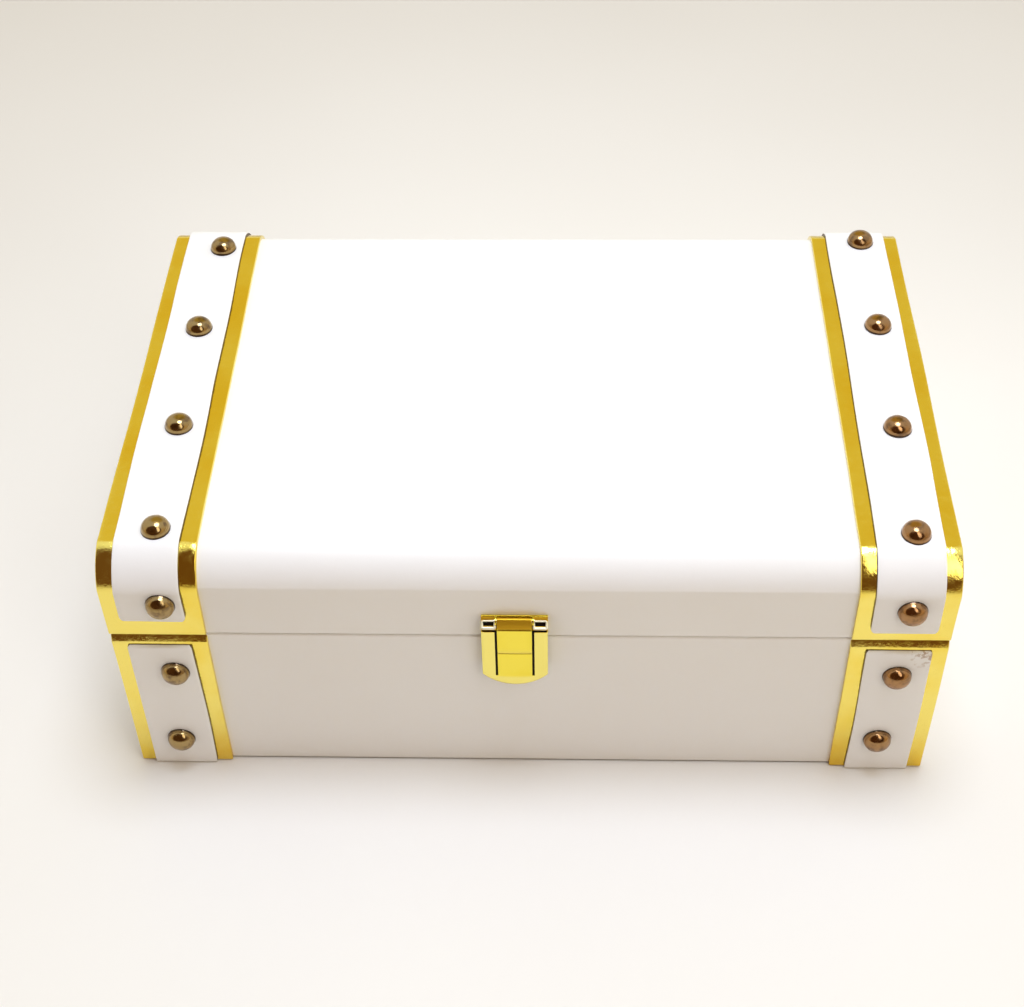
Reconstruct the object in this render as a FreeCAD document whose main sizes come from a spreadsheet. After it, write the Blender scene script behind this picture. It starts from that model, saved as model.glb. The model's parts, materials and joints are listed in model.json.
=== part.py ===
import FreeCAD, Part
import math
import os
import Sketcher

# Jewellery box: a wrapped board box with a hinged lid, two decorative bands, dome studs, a swinging latch
# and a lift-out tray. Millimetres. +X to the right, +Y to the back, +Z up.
# The origin is the middle of the footprint, on the surface that the box stands on.

doc = FreeCAD.newDocument("jewellery_box")
sheet = doc.addObject("Spreadsheet::Sheet", "sheet")
same_point = 1e-6


class Size:
    """A length that knows its value and the spreadsheet expression that gives it."""

    def __init__(self, value, text):
        self.value = value
        self.text = text

    def join(self, other, sign, result):
        other_text = other.text if isinstance(other, Size) else repr(float(other))
        return Size(result, "(" + self.text + " " + sign + " " + other_text + ")")

    def __add__(self, other):
        return self.join(other, "+", self.value + number(other))

    def __sub__(self, other):
        return self.join(other, "-", self.value - number(other))

    def __mul__(self, other):
        return self.join(other, "*", self.value * number(other))

    def __truediv__(self, other):
        return self.join(other, "/", self.value / number(other))

    def __neg__(self):
        return Size(-self.value, "(-1.0 * " + self.text + ")")


def number(item):
    return item.value if isinstance(item, Size) else float(item)


next_row = [1]


def driving(alias, value):
    """Write one driving dimension into the sheet and return it as a Size."""
    row = str(next_row[0])
    sheet.set("A" + row, alias.replace("_", " "))
    sheet.set("B" + row, str(value))
    sheet.setAlias("B" + row, alias)
    next_row[0] += 1
    return Size(float(value), "sheet." + alias)


# ---- driving dimensions -------------------------------------------------------------------------
box_width = driving("box_width", 305)
box_depth = driving("box_depth", 200)
box_height = driving("box_height", 110)
edge_radius = driving("edge_radius", 11)
seam_height = driving("seam_height", 74.5)
seam_gap = driving("seam_gap", 0.4)
board = driving("board_thickness", 10)
top_board = driving("top_board_thickness", 8)
bottom_board = driving("bottom_board_thickness", 6)
skin = driving("cover_thickness", 1)
underlay = driving("cover_above_floor", 0.4)
turn_in = driving("cover_turn_in", 12)

band_width = driving("band_width", 36)
band_thickness = driving("band_thickness", 1.6)
band_gap = driving("band_gap_at_seam", 0.8)
band_round = driving("band_fold_radius", 1.3)
strap_width = driving("strap_width", 25)
strap_thickness = driving("strap_thickness", 1.4)
strap_top_on_base = driving("strap_top_on_base", 70.3)
strap_end_left = driving("lid_strap_end_left", 84)
strap_end_right = driving("lid_strap_end_right", 80.4)

stud_radius = driving("stud_radius", 5.4)
stud_height = driving("stud_height", 4.8)
stud_edge = driving("stud_edge", 0.6)
shank_radius = driving("stud_shank_radius", 0.9)
shank_length = driving("stud_shank_length", 9)

lining = driving("lining_thickness", 0.8)
ledge = driving("ledge_thickness", 4)
ledge_top = driving("ledge_top", 38)
pad = driving("floor_pad_thickness", 4)
lid_pad = driving("lid_pad_thickness", 4)
pad_inset = driving("pad_inset", 0.4)

tray_play = driving("tray_play", 0.9)
tray_lift = driving("tray_rest_gap", 0.2)
tray_floor = driving("tray_floor_thickness", 3)
tray_wall = driving("tray_wall_thickness", 4)
tray_height = driving("tray_height", 32)
notch_radius = driving("tray_notch_radius", 14.4)
divider = driving("divider_thickness", 3)
divider_drop = driving("divider_drop", 3)
ring_place = driving("ring_section_divider_x", 30)
long_place = driving("long_divider_y", 8)
tray_lining = driving("tray_lining_thickness", 1.2)
roll_count = 8
roll_radius = driving("ring_roll_radius", 9.6)
roll_top = driving("ring_roll_top", 66)

hinge_place = driving("hinge_place_x", 60)
hinge_width = driving("hinge_width", 30)
hinge_axis_y = driving("hinge_axis_y", 103)
barrel_radius = driving("hinge_barrel_radius", 2.4)
hinge_pin_radius = driving("hinge_pin_radius", 1)
pin_clearance = driving("pin_clearance", 0.05)
leaf_thickness = driving("hinge_leaf_thickness", 1.2)
leaf_height = driving("hinge_leaf_height", 13)
knuckle_relief = driving("hinge_knuckle_relief", 0.5)
knuckle_width = driving("hinge_middle_knuckle", 12)
stop_reach = driving("hinge_stop_reach", 1.2)
stop_depth = driving("hinge_stop_depth", 1.5)
open_angle = 97.0
screw_radius = driving("screw_radius", 1.2)
screw_head = driving("screw_head_radius", 2.1)
screw_length = driving("screw_length", 9)
screw_spread = driving("screw_spread", 9)
screw_reach = driving("screw_reach", 8.06)
screw_slot = driving("screw_slot", 0.5)

latch_place = driving("latch_place_x", -4.5)
latch_half = driving("latch_half_width", 12)
latch_sheet = driving("latch_sheet", 0.7)
plate_bottom = driving("latch_plate_bottom", 76.8)
plate_top = driving("latch_plate_top", 86.4)
window_bottom = driving("latch_window_bottom", 81)
window_top = driving("latch_window_top", 83.5)
window_inner = driving("latch_window_inner", 7.2)
window_outer = driving("latch_window_outer", 10.8)
ear_inner = driving("latch_ear_inner", 6.4)
ear_thickness = driving("latch_ear_thickness", 0.6)
ear_radius = driving("latch_ear_radius", 1.6)
latch_pin_y = driving("latch_pin_y", -102.3)
latch_pin_z = driving("latch_pin_z", 85.4)
latch_pin_radius = driving("latch_pin_radius", 0.75)
flap_barrel = driving("latch_barrel_radius", 1.3)
flap_front = driving("latch_flap_front_y", -104.8)
flap_fold = driving("latch_fold_z", 83)
wing_top = driving("latch_wing_top_z", 82.2)
flap_shoulder = driving("latch_shoulder_z", 58.4)
flap_bottom = driving("latch_bottom_z", 52.4)
slot_place = driving("latch_slot_place", 6.7)
slot_width = driving("latch_slot_width", 0.9)
slot_bottom = driving("latch_slot_bottom_z", 57.9)
crease_place = driving("latch_crease_z", 70.1)
crease_depth = driving("latch_crease_depth", 0.25)
flange_reach = driving("latch_flange_reach", 3.2)
prong_reach = driving("latch_prong_reach", 6)
keeper_half = driving("keeper_half_width", 5)
keeper_bottom = driving("keeper_bottom_z", 60)
keeper_top = driving("keeper_top_z", 73.6)
lug_half = driving("keeper_lug_half_width", 3)
lug_bottom = driving("keeper_lug_bottom_z", 71.2)
lug_front = driving("keeper_lug_front_y", -103.6)
doc.recompute()

# ---- places worked out from the driving dimensions ------------------------------------------------
half_x = box_width / 2
half_y = box_depth / 2
base_rim = seam_height - seam_gap / 2
lid_rim = seam_height + seam_gap / 2
board_x = half_x - skin
board_y = half_y - skin
inner_x = board_x - board
inner_y = board_y - board
base_low = underlay + skin
base_high = base_rim - skin
lid_low = lid_rim + skin
lid_high = box_height - skin
floor_top = base_low + bottom_board
lid_ceiling = lid_high - top_board
band_front = half_y + band_thickness
strap_front = band_front + strap_thickness
strap_margin = (band_width - strap_width) / 2

nodes = []


# ---- helpers --------------------------------------------------------------------------------------
def bind(item, place, size):
    if isinstance(size, Size):
        item.setExpression(place, size.text)
    else:
        item.setExpression(place, repr(float(size)))


def move(item, x, y, z):
    bind(item, "Placement.Base.x", x)
    bind(item, "Placement.Base.y", y)
    bind(item, "Placement.Base.z", z)


def keep(item, label):
    """Name a finished sub-part and list it for export."""
    item.Label = label
    nodes.append(item)
    return item


def block(label, low_x, high_x, low_y, high_y, low_z, high_z):
    """A box between three pairs of limits."""
    item = doc.addObject("Part::Box", label)
    bind(item, "Length", size_between(low_x, high_x))
    bind(item, "Width", size_between(low_y, high_y))
    bind(item, "Height", size_between(low_z, high_z))
    move(item, low_x, low_y, low_z)
    return item


def size_between(low, high):
    if isinstance(high, Size):
        return high - low
    return Size(float(high), repr(float(high))) - low


def rod_along_x(label, low_x, high_x, y, z, radius):
    """A cylinder along X."""
    item = doc.addObject("Part::Cylinder", label)
    bind(item, "Radius", radius)
    bind(item, "Height", size_between(low_x, high_x))
    item.Placement = FreeCAD.Placement(FreeCAD.Vector(), FreeCAD.Rotation(FreeCAD.Vector(0, 1, 0), 90))
    move(item, low_x, y, z)
    return item


def cone_along_y(label, x, low_y, high_y, z, low_radius, high_radius):
    """A cone along Y, for countersinks."""
    item = doc.addObject("Part::Cone", label)
    bind(item, "Radius1", low_radius)
    bind(item, "Radius2", high_radius)
    bind(item, "Height", size_between(low_y, high_y))
    item.Placement = FreeCAD.Placement(FreeCAD.Vector(), FreeCAD.Rotation(FreeCAD.Vector(1, 0, 0), -90))
    move(item, x, low_y, z)
    return item


def cut(label, base, *tools):
    item = doc.addObject("Part::Cut", label)
    item.Base = base
    item.Tool = tools[0] if len(tools) == 1 else fuse(label + "_tools", *tools)
    return item


def fuse(label, *parts):
    item = doc.addObject("Part::MultiFuse", label)
    item.Shapes = list(parts)
    item.Refine = True
    return item


def rounded_loop(corners):
    """Turn corners (across, up, radius) of an axis-aligned outline into lines and quarter rounds.

    Each stretch is ("line", start, end) or ("arc", start, end, centre).
    """
    stretches = []
    last = len(corners)
    ends = []
    for index in range(last):
        across, up, radius = corners[index]
        if radius is None:
            ends.append(((across, up), (across, up), None))
            continue
        before = corners[index - 1]
        after = corners[(index + 1) % last]
        towards_before = direction((across, up), before)
        towards_after = direction((across, up), after)
        start = shifted((across, up), towards_before, radius)
        finish = shifted((across, up), towards_after, radius)
        centre = shifted(start, towards_after, radius)
        ends.append((start, finish, centre))
    for index in range(last):
        start, finish, centre = ends[index]
        if centre is not None:
            stretches.append(("arc", start, finish, centre))
        following = ends[(index + 1) % last][0]
        if vector(finish).distanceToPoint(vector(following)) > same_point:
            stretches.append(("line", finish, following))
    return stretches


def direction(point, other):
    across = number(other[0]) - number(point[0])
    up = number(other[1]) - number(point[1])
    length = math.hypot(across, up)
    return round(across / length), round(up / length)


def shifted(point, way, distance):
    return point[0] + distance * way[0], point[1] + distance * way[1]


def vector(point):
    return FreeCAD.Vector(number(point[0]), number(point[1]), 0)


def quarter_arc(start, finish, centre):
    middle = (start - centre + finish - centre).normalize() * (start - centre).Length + centre
    return Part.Arc(start, middle, finish)


def add_stretches(sketch, stretches):
    """Draw a closed loop and bind every corner of it to the sheet."""
    first = sketch.GeometryCount
    count = len(stretches)
    ends = []
    for stretch in stretches:
        start, finish = vector(stretch[1]), vector(stretch[2])
        if stretch[0] == "line":
            sketch.addGeometry(Part.LineSegment(start, finish))
            ends.append((1, 2))
            continue
        centre = vector(stretch[3])
        sketch.addGeometry(quarter_arc(start, finish, centre))
        # A sketch keeps its arcs counter-clockwise, so a clockwise one is stored end first.
        counter_clockwise = (start - centre).cross(finish - centre).z > 0
        ends.append((1, 2) if counter_clockwise else (2, 1))
    for index in range(count):
        here = first + index
        after = first + (index + 1) % count
        sketch.addConstraint(
            Sketcher.Constraint("Coincident", here, ends[index][1], after, ends[(index + 1) % count][0]))
    for index, stretch in enumerate(stretches):
        here = first + index
        pin_point(sketch, here, ends[index][0], stretch[1])
        if stretch[0] == "arc":
            pin_axis(sketch, "DistanceX", here, 3, stretch[3][0])


def pin_point(sketch, element, end, point):
    pin_axis(sketch, "DistanceX", element, end, point[0])
    pin_axis(sketch, "DistanceY", element, end, point[1])


def pin_axis(sketch, kind, element, end, size):
    index = sketch.addConstraint(Sketcher.Constraint(kind, -1, 1, element, end, number(size)))
    if isinstance(size, Size):
        sketch.setExpression("Constraints[%d]" % index, size.text)


def origin_plane(body, role):
    for feature in body.Origin.OriginFeatures:
        if feature.Role == role:
            return feature
    raise ValueError(role)


def extrusion(label, plane, loops, low, high):
    """A body padded from closed loops drawn on YZ (runs along X) or XZ (runs along Y)."""
    body = doc.addObject("PartDesign::Body", label)
    sketch = body.newObject("Sketcher::SketchObject", label + "_sketch")
    sketch.AttachmentSupport = [(origin_plane(body, plane), "")]
    sketch.MapMode = "FlatFace"
    for loop in loops:
        add_stretches(sketch, loop)
    pad_feature = body.newObject("PartDesign::Pad", label + "_pad")
    pad_feature.Profile = sketch
    bind(pad_feature, "Length", size_between(low, high))
    if plane == "YZ_Plane":
        bind(body, "Placement.Base.x", low)
    else:
        bind(body, "Placement.Base.y", high)
    return body


def rectangle(low_across, high_across, low_up, high_up):
    return rounded_loop([(low_across, low_up, None), (high_across, low_up, None),
                         (high_across, high_up, None), (low_across, high_up, None)])


def arch(half_width, bottom, top, radius):
    """Outline of the lid seen from its end: a flat bottom and a top with two rounded corners."""
    return rounded_loop([(-half_width, bottom, None), (half_width, bottom, None),
                         (half_width, top, radius), (-half_width, top, radius)])


# ---- base: boards, cover, sheet underneath ----------------------------------------------------------
keep(block("base_front_board", -inner_x, inner_x, -board_y, -inner_y, base_low, base_high), "base_front_board")
keep(block("base_back_board", -inner_x, inner_x, inner_y, board_y, base_low, base_high), "base_back_board")
keep(block("base_left_board", -board_x, -inner_x, -board_y, board_y, base_low, base_high), "base_left_board")
keep(block("base_right_board", inner_x, board_x, -board_y, board_y, base_low, base_high), "base_right_board")
keep(block("base_bottom_board", -inner_x, inner_x, -inner_y, inner_y, base_low, floor_top), "base_bottom_board")

cover_outside = block("base_cover_outside", -half_x, half_x, -half_y, half_y, underlay, base_rim)
cover_inside = block("base_cover_inside", -board_x, board_x, -board_y, board_y, base_low, base_high)
cover_mouth = block("base_cover_mouth", -inner_x, inner_x, -inner_y, inner_y, base_low, base_rim + skin)
under_x = half_x - turn_in
under_y = half_y - turn_in
cover_under = block("base_cover_under", -under_x, under_x, -under_y, under_y, underlay - skin, base_low + skin)
keep(cut("base_cover", cover_outside, cover_inside, cover_mouth, cover_under), "base_cover")
keep(block("bottom_felt", -under_x, under_x, -under_y, under_y, 0, base_low), "bottom_felt")

# ---- lid: boards with rounded long edges, cover -----------------------------------------------------
rail_round = edge_radius - skin
keep(extrusion("lid_front_rail", "YZ_Plane", [rounded_loop([
    (-board_y, lid_low, None), (-inner_y, lid_low, None),
    (-inner_y, lid_high, None), (-board_y, lid_high, rail_round)])], -inner_x, inner_x), "lid_front_rail")
keep(extrusion("lid_back_rail", "YZ_Plane", [rounded_loop([
    (inner_y, lid_low, None), (board_y, lid_low, None),
    (board_y, lid_high, rail_round), (inner_y, lid_high, None)])], -inner_x, inner_x), "lid_back_rail")
end_outline = arch(board_y, lid_low, lid_high, rail_round)
keep(extrusion("lid_left_end", "YZ_Plane", [end_outline], -board_x, -inner_x), "lid_left_end")
keep(extrusion("lid_right_end", "YZ_Plane", [end_outline], inner_x, board_x), "lid_right_end")
keep(block("lid_top_board", -inner_x, inner_x, -inner_y, inner_y, lid_ceiling, lid_high), "lid_top_board")

lid_outside = extrusion("lid_cover_outside", "YZ_Plane",
                        [arch(half_y, lid_rim, box_height, edge_radius)], -half_x, half_x)
lid_inside = extrusion("lid_cover_inside", "YZ_Plane", [end_outline], -board_x, board_x)
lid_mouth = block("lid_cover_mouth", -inner_x, inner_x, -inner_y, inner_y, lid_rim - skin, lid_low + skin)
keep(cut("lid_cover", lid_outside, lid_inside, lid_mouth), "lid_cover")

# ---- gold bands and the white straps on them --------------------------------------------------------
band_top_on_base = seam_height - band_gap / 2
band_end_on_lid = seam_height + band_gap / 2
lid_band_round = edge_radius + band_thickness
lid_strap_round = lid_band_round + strap_thickness
lid_band_top = box_height + band_thickness
lid_strap_top = lid_band_top + strap_thickness


def lid_strip(label, low_x, high_x, inner, outer, inner_top, outer_top, inner_round, outer_round, end, fold):
    """A strip bent over the lid from front to back, with its two ends folded at the lower edges."""
    outline = rounded_loop([
        (-outer, end, fold), (-inner, end, None),
        (-inner, inner_top, inner_round), (inner, inner_top, inner_round),
        (inner, end, None), (outer, end, fold),
        (outer, outer_top, outer_round), (-outer, outer_top, outer_round)])
    keep(extrusion(label, "YZ_Plane", [outline], low_x, high_x), label)


def base_strip(label, low_x, high_x, inner, outer, top, fold, side):
    """A flat strip on the front (side -1) or back (side +1) of the base, folded at its top edge."""
    outline = rounded_loop([
        (inner * side, underlay, None), (outer * side, underlay, None),
        (outer * side, top, fold), (inner * side, top, None)])
    keep(extrusion(label, "YZ_Plane", [outline], low_x, high_x), label)


ends = (("left", -half_x, band_width - half_x, strap_end_left),
        ("right", half_x - band_width, half_x, strap_end_right))
strap_fold = strap_thickness / 2
for name, low_x, high_x, strap_end in ends:
    strap_low = low_x + strap_margin
    strap_high = high_x - strap_margin
    lid_strip("lid_gold_band_" + name, low_x, high_x, half_y, band_front, box_height, lid_band_top,
              edge_radius, lid_band_round, band_end_on_lid, band_round)
    lid_strip("lid_white_strap_" + name, strap_low, strap_high, band_front, strap_front, lid_band_top,
              lid_strap_top, lid_band_round, lid_strap_round, strap_end, strap_fold)
    for face, side in (("front", -1), ("back", 1)):
        base_strip("base_gold_band_" + face + "_" + name, low_x, high_x, half_y, band_front,
                   band_top_on_base, band_round, side)
        base_strip("base_white_strap_" + face + "_" + name, strap_low, strap_high, band_front, strap_front,
                   strap_top_on_base, strap_fold, side)


# ---- dome studs ---------------------------------------------------------------------------------------
def stud_shape():
    """One dome-headed nail, head up, standing on the plane z = 0."""
    radius, height, edge = stud_radius.value, stud_height.value, stud_edge.value
    shank, length = shank_radius.value, shank_length.value
    rise = height - edge
    ball = (radius * radius + rise * rise) / (2 * rise)
    centre = height - ball
    half_angle = math.atan2(radius, edge - centre) / 2
    shoulder = FreeCAD.Vector(ball * math.sin(half_angle), 0, centre + ball * math.cos(half_angle))
    crown = FreeCAD.Vector(0, 0, height)
    rim = FreeCAD.Vector(radius, 0, edge)
    corners = [FreeCAD.Vector(radius, 0, 0), FreeCAD.Vector(shank, 0, 0),
               FreeCAD.Vector(shank, 0, 2 * shank - length), FreeCAD.Vector(0, 0, -length), crown]
    edges = [Part.Arc(crown, shoulder, rim).toShape(), Part.LineSegment(rim, corners[0]).toShape()]
    for start, finish in zip(corners, corners[1:]):
        edges.append(Part.LineSegment(start, finish).toShape())
    face = Part.Face(Part.Wire(edges))
    return face.revolve(FreeCAD.Vector(), FreeCAD.Vector(0, 0, 1), 360)


def place_stud(x, y, z, tilt):
    """tilt turns the head from up (0) to the front (90) or the back (-90)."""
    copy = stud_shape()
    copy.Placement = FreeCAD.Placement(FreeCAD.Vector(x, y, z), FreeCAD.Rotation(FreeCAD.Vector(1, 0, 0), tilt))
    return copy


def compound(label, shapes):
    item = doc.addObject("Part::Feature", label)
    item.Shape = Part.makeCompound(shapes)
    item.Placement = FreeCAD.Placement()
    return keep(item, label)


# Hand-set studs: each strap's are a little off its middle line.
lid_top_places = ((-130.8, 79.9), (-133.2, 27.2), (-132.2, -30.2), (-132.0, -84.2),
                  (136.4, 85.0), (137.1, 29.6), (137.1, -29.9), (136.6, -84.4))
lid_side_places = ((-130.4, 93.5), (135.8, 92.8))
base_side_places = ((-130.5, 56.4), (-134.3, 16.2), (135.1, 57.4), (132.8, 19.5))

lid_studs = [place_stud(x, y, lid_strap_top.value, 0) for x, y in lid_top_places]
for x, z in lid_side_places:
    lid_studs.append(place_stud(x, -strap_front.value, z, 90))
    lid_studs.append(place_stud(x, strap_front.value, z, -90))
compound("lid_studs", lid_studs)

base_studs = []
for x, z in base_side_places:
    base_studs.append(place_stud(x, -strap_front.value, z, 90))
    base_studs.append(place_stud(x, strap_front.value, z, -90))
compound("base_studs", base_studs)

# ---- base interior: tray ledges, wall lining, floor pad ---------------------------------------------
ledge_x = inner_x - ledge
ledge_y = inner_y - ledge
keep(block("ledge_left", -inner_x, -ledge_x, -inner_y, inner_y, floor_top, ledge_top), "ledge_left")
keep(block("ledge_right", ledge_x, inner_x, -inner_y, inner_y, floor_top, ledge_top), "ledge_right")
keep(block("ledge_front", -ledge_x, ledge_x, -inner_y, -ledge_y, floor_top, ledge_top), "ledge_front")
keep(block("ledge_back", -ledge_x, ledge_x, ledge_y, inner_y, floor_top, ledge_top), "ledge_back")


def ring_lining(label, low_z, high_z):
    """A thin fabric lining around the four inner walls."""
    outside = block(label + "_outside", -inner_x, inner_x, -inner_y, inner_y, low_z, high_z)
    inside = block(label + "_inside", lining - inner_x, inner_x - lining, lining - inner_y, inner_y - lining,
                   low_z - lining, high_z + lining)
    return keep(cut(label, outside, inside), label)


ring_lining("base_wall_lining", ledge_top, base_rim - lining)
ring_lining("lid_wall_lining", lid_rim + lining, lid_ceiling)

pad_x = ledge_x - pad_inset
pad_y = ledge_y - pad_inset
keep(block("base_floor_pad", -pad_x, pad_x, -pad_y, pad_y, floor_top, floor_top + pad), "base_floor_pad")
ceiling_x = inner_x - lining - pad_inset
ceiling_y = inner_y - lining - pad_inset
keep(block("lid_pad", -ceiling_x, ceiling_x, -ceiling_y, ceiling_y, lid_ceiling - lid_pad, lid_ceiling), "lid_pad")

# ---- lift-out tray --------------------------------------------------------------------------------------
tray_x = inner_x - lining - tray_play
tray_y = inner_y - lining - tray_play
tray_low = ledge_top + tray_lift
tray_deck = tray_low + tray_floor
tray_high = tray_low + tray_height
well_x = tray_x - tray_wall
well_y = tray_y - tray_wall
divider_high = tray_high - divider_drop
half_divider = divider / 2

keep(block("tray_floor", -well_x, well_x, -well_y, well_y, tray_low, tray_deck), "tray_floor")
keep(block("tray_front_wall", -well_x, well_x, -tray_y, -well_y, tray_low, tray_high), "tray_front_wall")
keep(block("tray_back_wall", -well_x, well_x, well_y, tray_y, tray_low, tray_high), "tray_back_wall")

# The end walls have a finger notch each, for lifting the tray out.
for name, low_x, high_x in (("left", -tray_x, -well_x), ("right", well_x, tray_x)):
    label = "tray_" + name + "_wall"
    wall = block(label + "_board", low_x, high_x, -tray_y, tray_y, tray_low, tray_high)
    notch = rod_along_x(label + "_notch", low_x - tray_play, high_x + tray_play,
                        0, tray_high + divider_drop, notch_radius)
    keep(cut(label, wall, notch), label)

keep(block("tray_ring_divider", ring_place - half_divider, ring_place + half_divider, -well_y, well_y,
           tray_deck, divider_high), "tray_ring_divider")
keep(block("tray_long_divider", -well_x, ring_place - half_divider, long_place - half_divider,
           long_place + half_divider, tray_deck, divider_high), "tray_long_divider")
left_span = ring_place - half_divider + well_x
for name, share in (("left", 1 / 3), ("right", 2 / 3)):
    middle = left_span * share - well_x
    label = "tray_back_divider_" + name
    keep(block(label, middle - half_divider, middle + half_divider, long_place + half_divider, well_y,
               tray_deck, divider_high), label)
front_middle = left_span / 2 - well_x
keep(block("tray_front_divider", front_middle - half_divider, front_middle + half_divider,
           -well_y, long_place - half_divider, tray_deck, divider_high), "tray_front_divider")


def compartments():
    """Limits (low x, high x, low y, high y) of the five open compartments of the tray."""
    span_low = -well_x.value
    span_high = ring_place.value - half_divider.value
    span = span_high - span_low
    half = half_divider.value
    back_low = long_place.value + half
    front_high = long_place.value - half
    cells = []
    for index in range(3):
        low = span_low + span * index / 3 + (half if index > 0 else 0)
        high = span_low + span * (index + 1) / 3 - (half if index < 2 else 0)
        cells.append((low, high, back_low, well_y.value))
    middle = span_low + span / 2
    cells.append((span_low, middle - half, -well_y.value, front_high))
    cells.append((middle + half, span_high, -well_y.value, front_high))
    return cells


cell_linings = []
for low_x, high_x, low_y, high_y in compartments():
    inset = pad_inset.value
    cell_linings.append(Part.makeBox(high_x - low_x - 2 * inset, high_y - low_y - 2 * inset, tray_lining.value,
                                     FreeCAD.Vector(low_x + inset, low_y + inset, tray_deck.value)))
compound("tray_floor_lining", cell_linings)


def ring_rolls():
    """Round-topped cushions side by side, filling the ring section."""
    low_x = ring_place.value + half_divider.value + pad_inset.value
    length = well_x.value - pad_inset.value - low_x
    pitch = 2 * well_y.value / roll_count
    radius = roll_radius.value
    centre_z = roll_top.value - radius
    rolls = []
    for index in range(roll_count):
        centre_y = pitch * (index + 0.5) - well_y.value
        crown = Part.makeCylinder(radius, length, FreeCAD.Vector(low_x, centre_y, centre_z),
                                  FreeCAD.Vector(1, 0, 0))
        core = Part.makeBox(length, 2 * radius, centre_z - tray_deck.value,
                            FreeCAD.Vector(low_x, centre_y - radius, tray_deck.value))
        rolls.append(crown.fuse(core).removeSplitter())
    return rolls


compound("ring_rolls", ring_rolls())

# ---- hinges ----------------------------------------------------------------------------------------------
leaf_front = half_y
leaf_back = half_y + leaf_thickness
relief = barrel_radius + knuckle_relief
half_open = math.radians(open_angle / 2)
stop_start = relief / math.tan(half_open)
stop_drop = stop_reach * math.tan(half_open)
half_hinge = hinge_width / 2
half_knuckle = knuckle_width / 2


def line_loop(points):
    """A closed loop of straight lines through the points."""
    return [("line", points[index], points[(index + 1) % len(points)]) for index in range(len(points))]


def leaf_profile(way):
    """Leaf, and the tail that stops the lid: way is -1 for the base's leaf, +1 for the lid's."""
    near = seam_height + relief * way
    tip = near + stop_drop * way
    end = tip + stop_depth * way
    far = near + leaf_height * way
    stop_y = hinge_axis_y + stop_start
    return line_loop([(leaf_front, near), (stop_y, near), (stop_y + stop_reach, tip),
                      (stop_y + stop_reach, end), (leaf_back, end), (leaf_back, far), (leaf_front, far)])


def knuckle(label, low_x, high_x, way):
    """A barrel with the web that joins it to its leaf."""
    barrel = rod_along_x(label + "_barrel", low_x, high_x, hinge_axis_y, seam_height, barrel_radius)
    near = seam_height + relief * way
    low_z, high_z = (near, seam_height) if way < 0 else (seam_height, near)
    web = block(label + "_web", low_x, high_x, leaf_back - knuckle_relief / 2, hinge_axis_y, low_z, high_z)
    return [barrel, web]


def hinge_leaf(name, middle, way):
    label = ("hinge_base_leaf_" if way < 0 else "hinge_lid_leaf_") + name
    leaf = extrusion(label + "_plate", "YZ_Plane", [leaf_profile(way)], middle - half_hinge, middle + half_hinge)
    parts = [leaf]
    play = knuckle_relief / 2
    if way < 0:
        parts += knuckle(label + "_a", middle - half_hinge, middle - half_knuckle - play, way)
        parts += knuckle(label + "_b", middle + half_knuckle + play, middle + half_hinge, way)
    else:
        parts += knuckle(label + "_a", middle - half_knuckle, middle + half_knuckle, way)
    body = fuse(label + "_body", *parts)
    tools = [rod_along_x(label + "_bore", middle - hinge_width, middle + hinge_width, hinge_axis_y,
                         seam_height, hinge_pin_radius + pin_clearance)]
    for side in (-1, 1):
        tools.append(cone_along_y(label + "_sink_" + str(side + 1), middle + screw_spread * side, leaf_front,
                                  leaf_back, screw_height(way), screw_radius, screw_head))
    keep(cut(label, body, *tools), label)


def screw_height(way):
    return seam_height + (relief + screw_reach) * way


def screw_shape(x, z):
    """A countersunk screw, driven towards -Y, with its head flush with the leaf."""
    shank = Part.makeCylinder(screw_radius.value, screw_length.value,
                              FreeCAD.Vector(x, leaf_front.value, z), FreeCAD.Vector(0, -1, 0))
    head = Part.makeCone(screw_radius.value, screw_head.value, leaf_thickness.value,
                         FreeCAD.Vector(x, leaf_front.value, z), FreeCAD.Vector(0, 1, 0))
    slot = Part.makeBox(2 * screw_head.value, leaf_thickness.value, screw_slot.value,
                        FreeCAD.Vector(x - screw_head.value, (leaf_back - screw_slot).value,
                                       z - screw_slot.value / 2))
    return shank.fuse(head).cut(slot)


screws = {-1: [], 1: []}
for name, middle in (("left", -hinge_place), ("right", hinge_place)):
    for way in (-1, 1):
        hinge_leaf(name, middle, way)
        for side in (-1, 1):
            screws[way].append(screw_shape(number(middle + screw_spread * side), number(screw_height(way))))
    keep(rod_along_x("hinge_pin_" + name, middle - half_hinge, middle + half_hinge, hinge_axis_y, seam_height,
                     hinge_pin_radius), "hinge_pin_" + name)
compound("hinge_base_screws", screws[-1])
compound("hinge_lid_screws", screws[1])

# ---- latch: plate on the lid, pin, swinging flap, keeper on the base -----------------------------------
plate_front = -half_y - latch_sheet
ear_outer = ear_inner + ear_thickness


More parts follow.
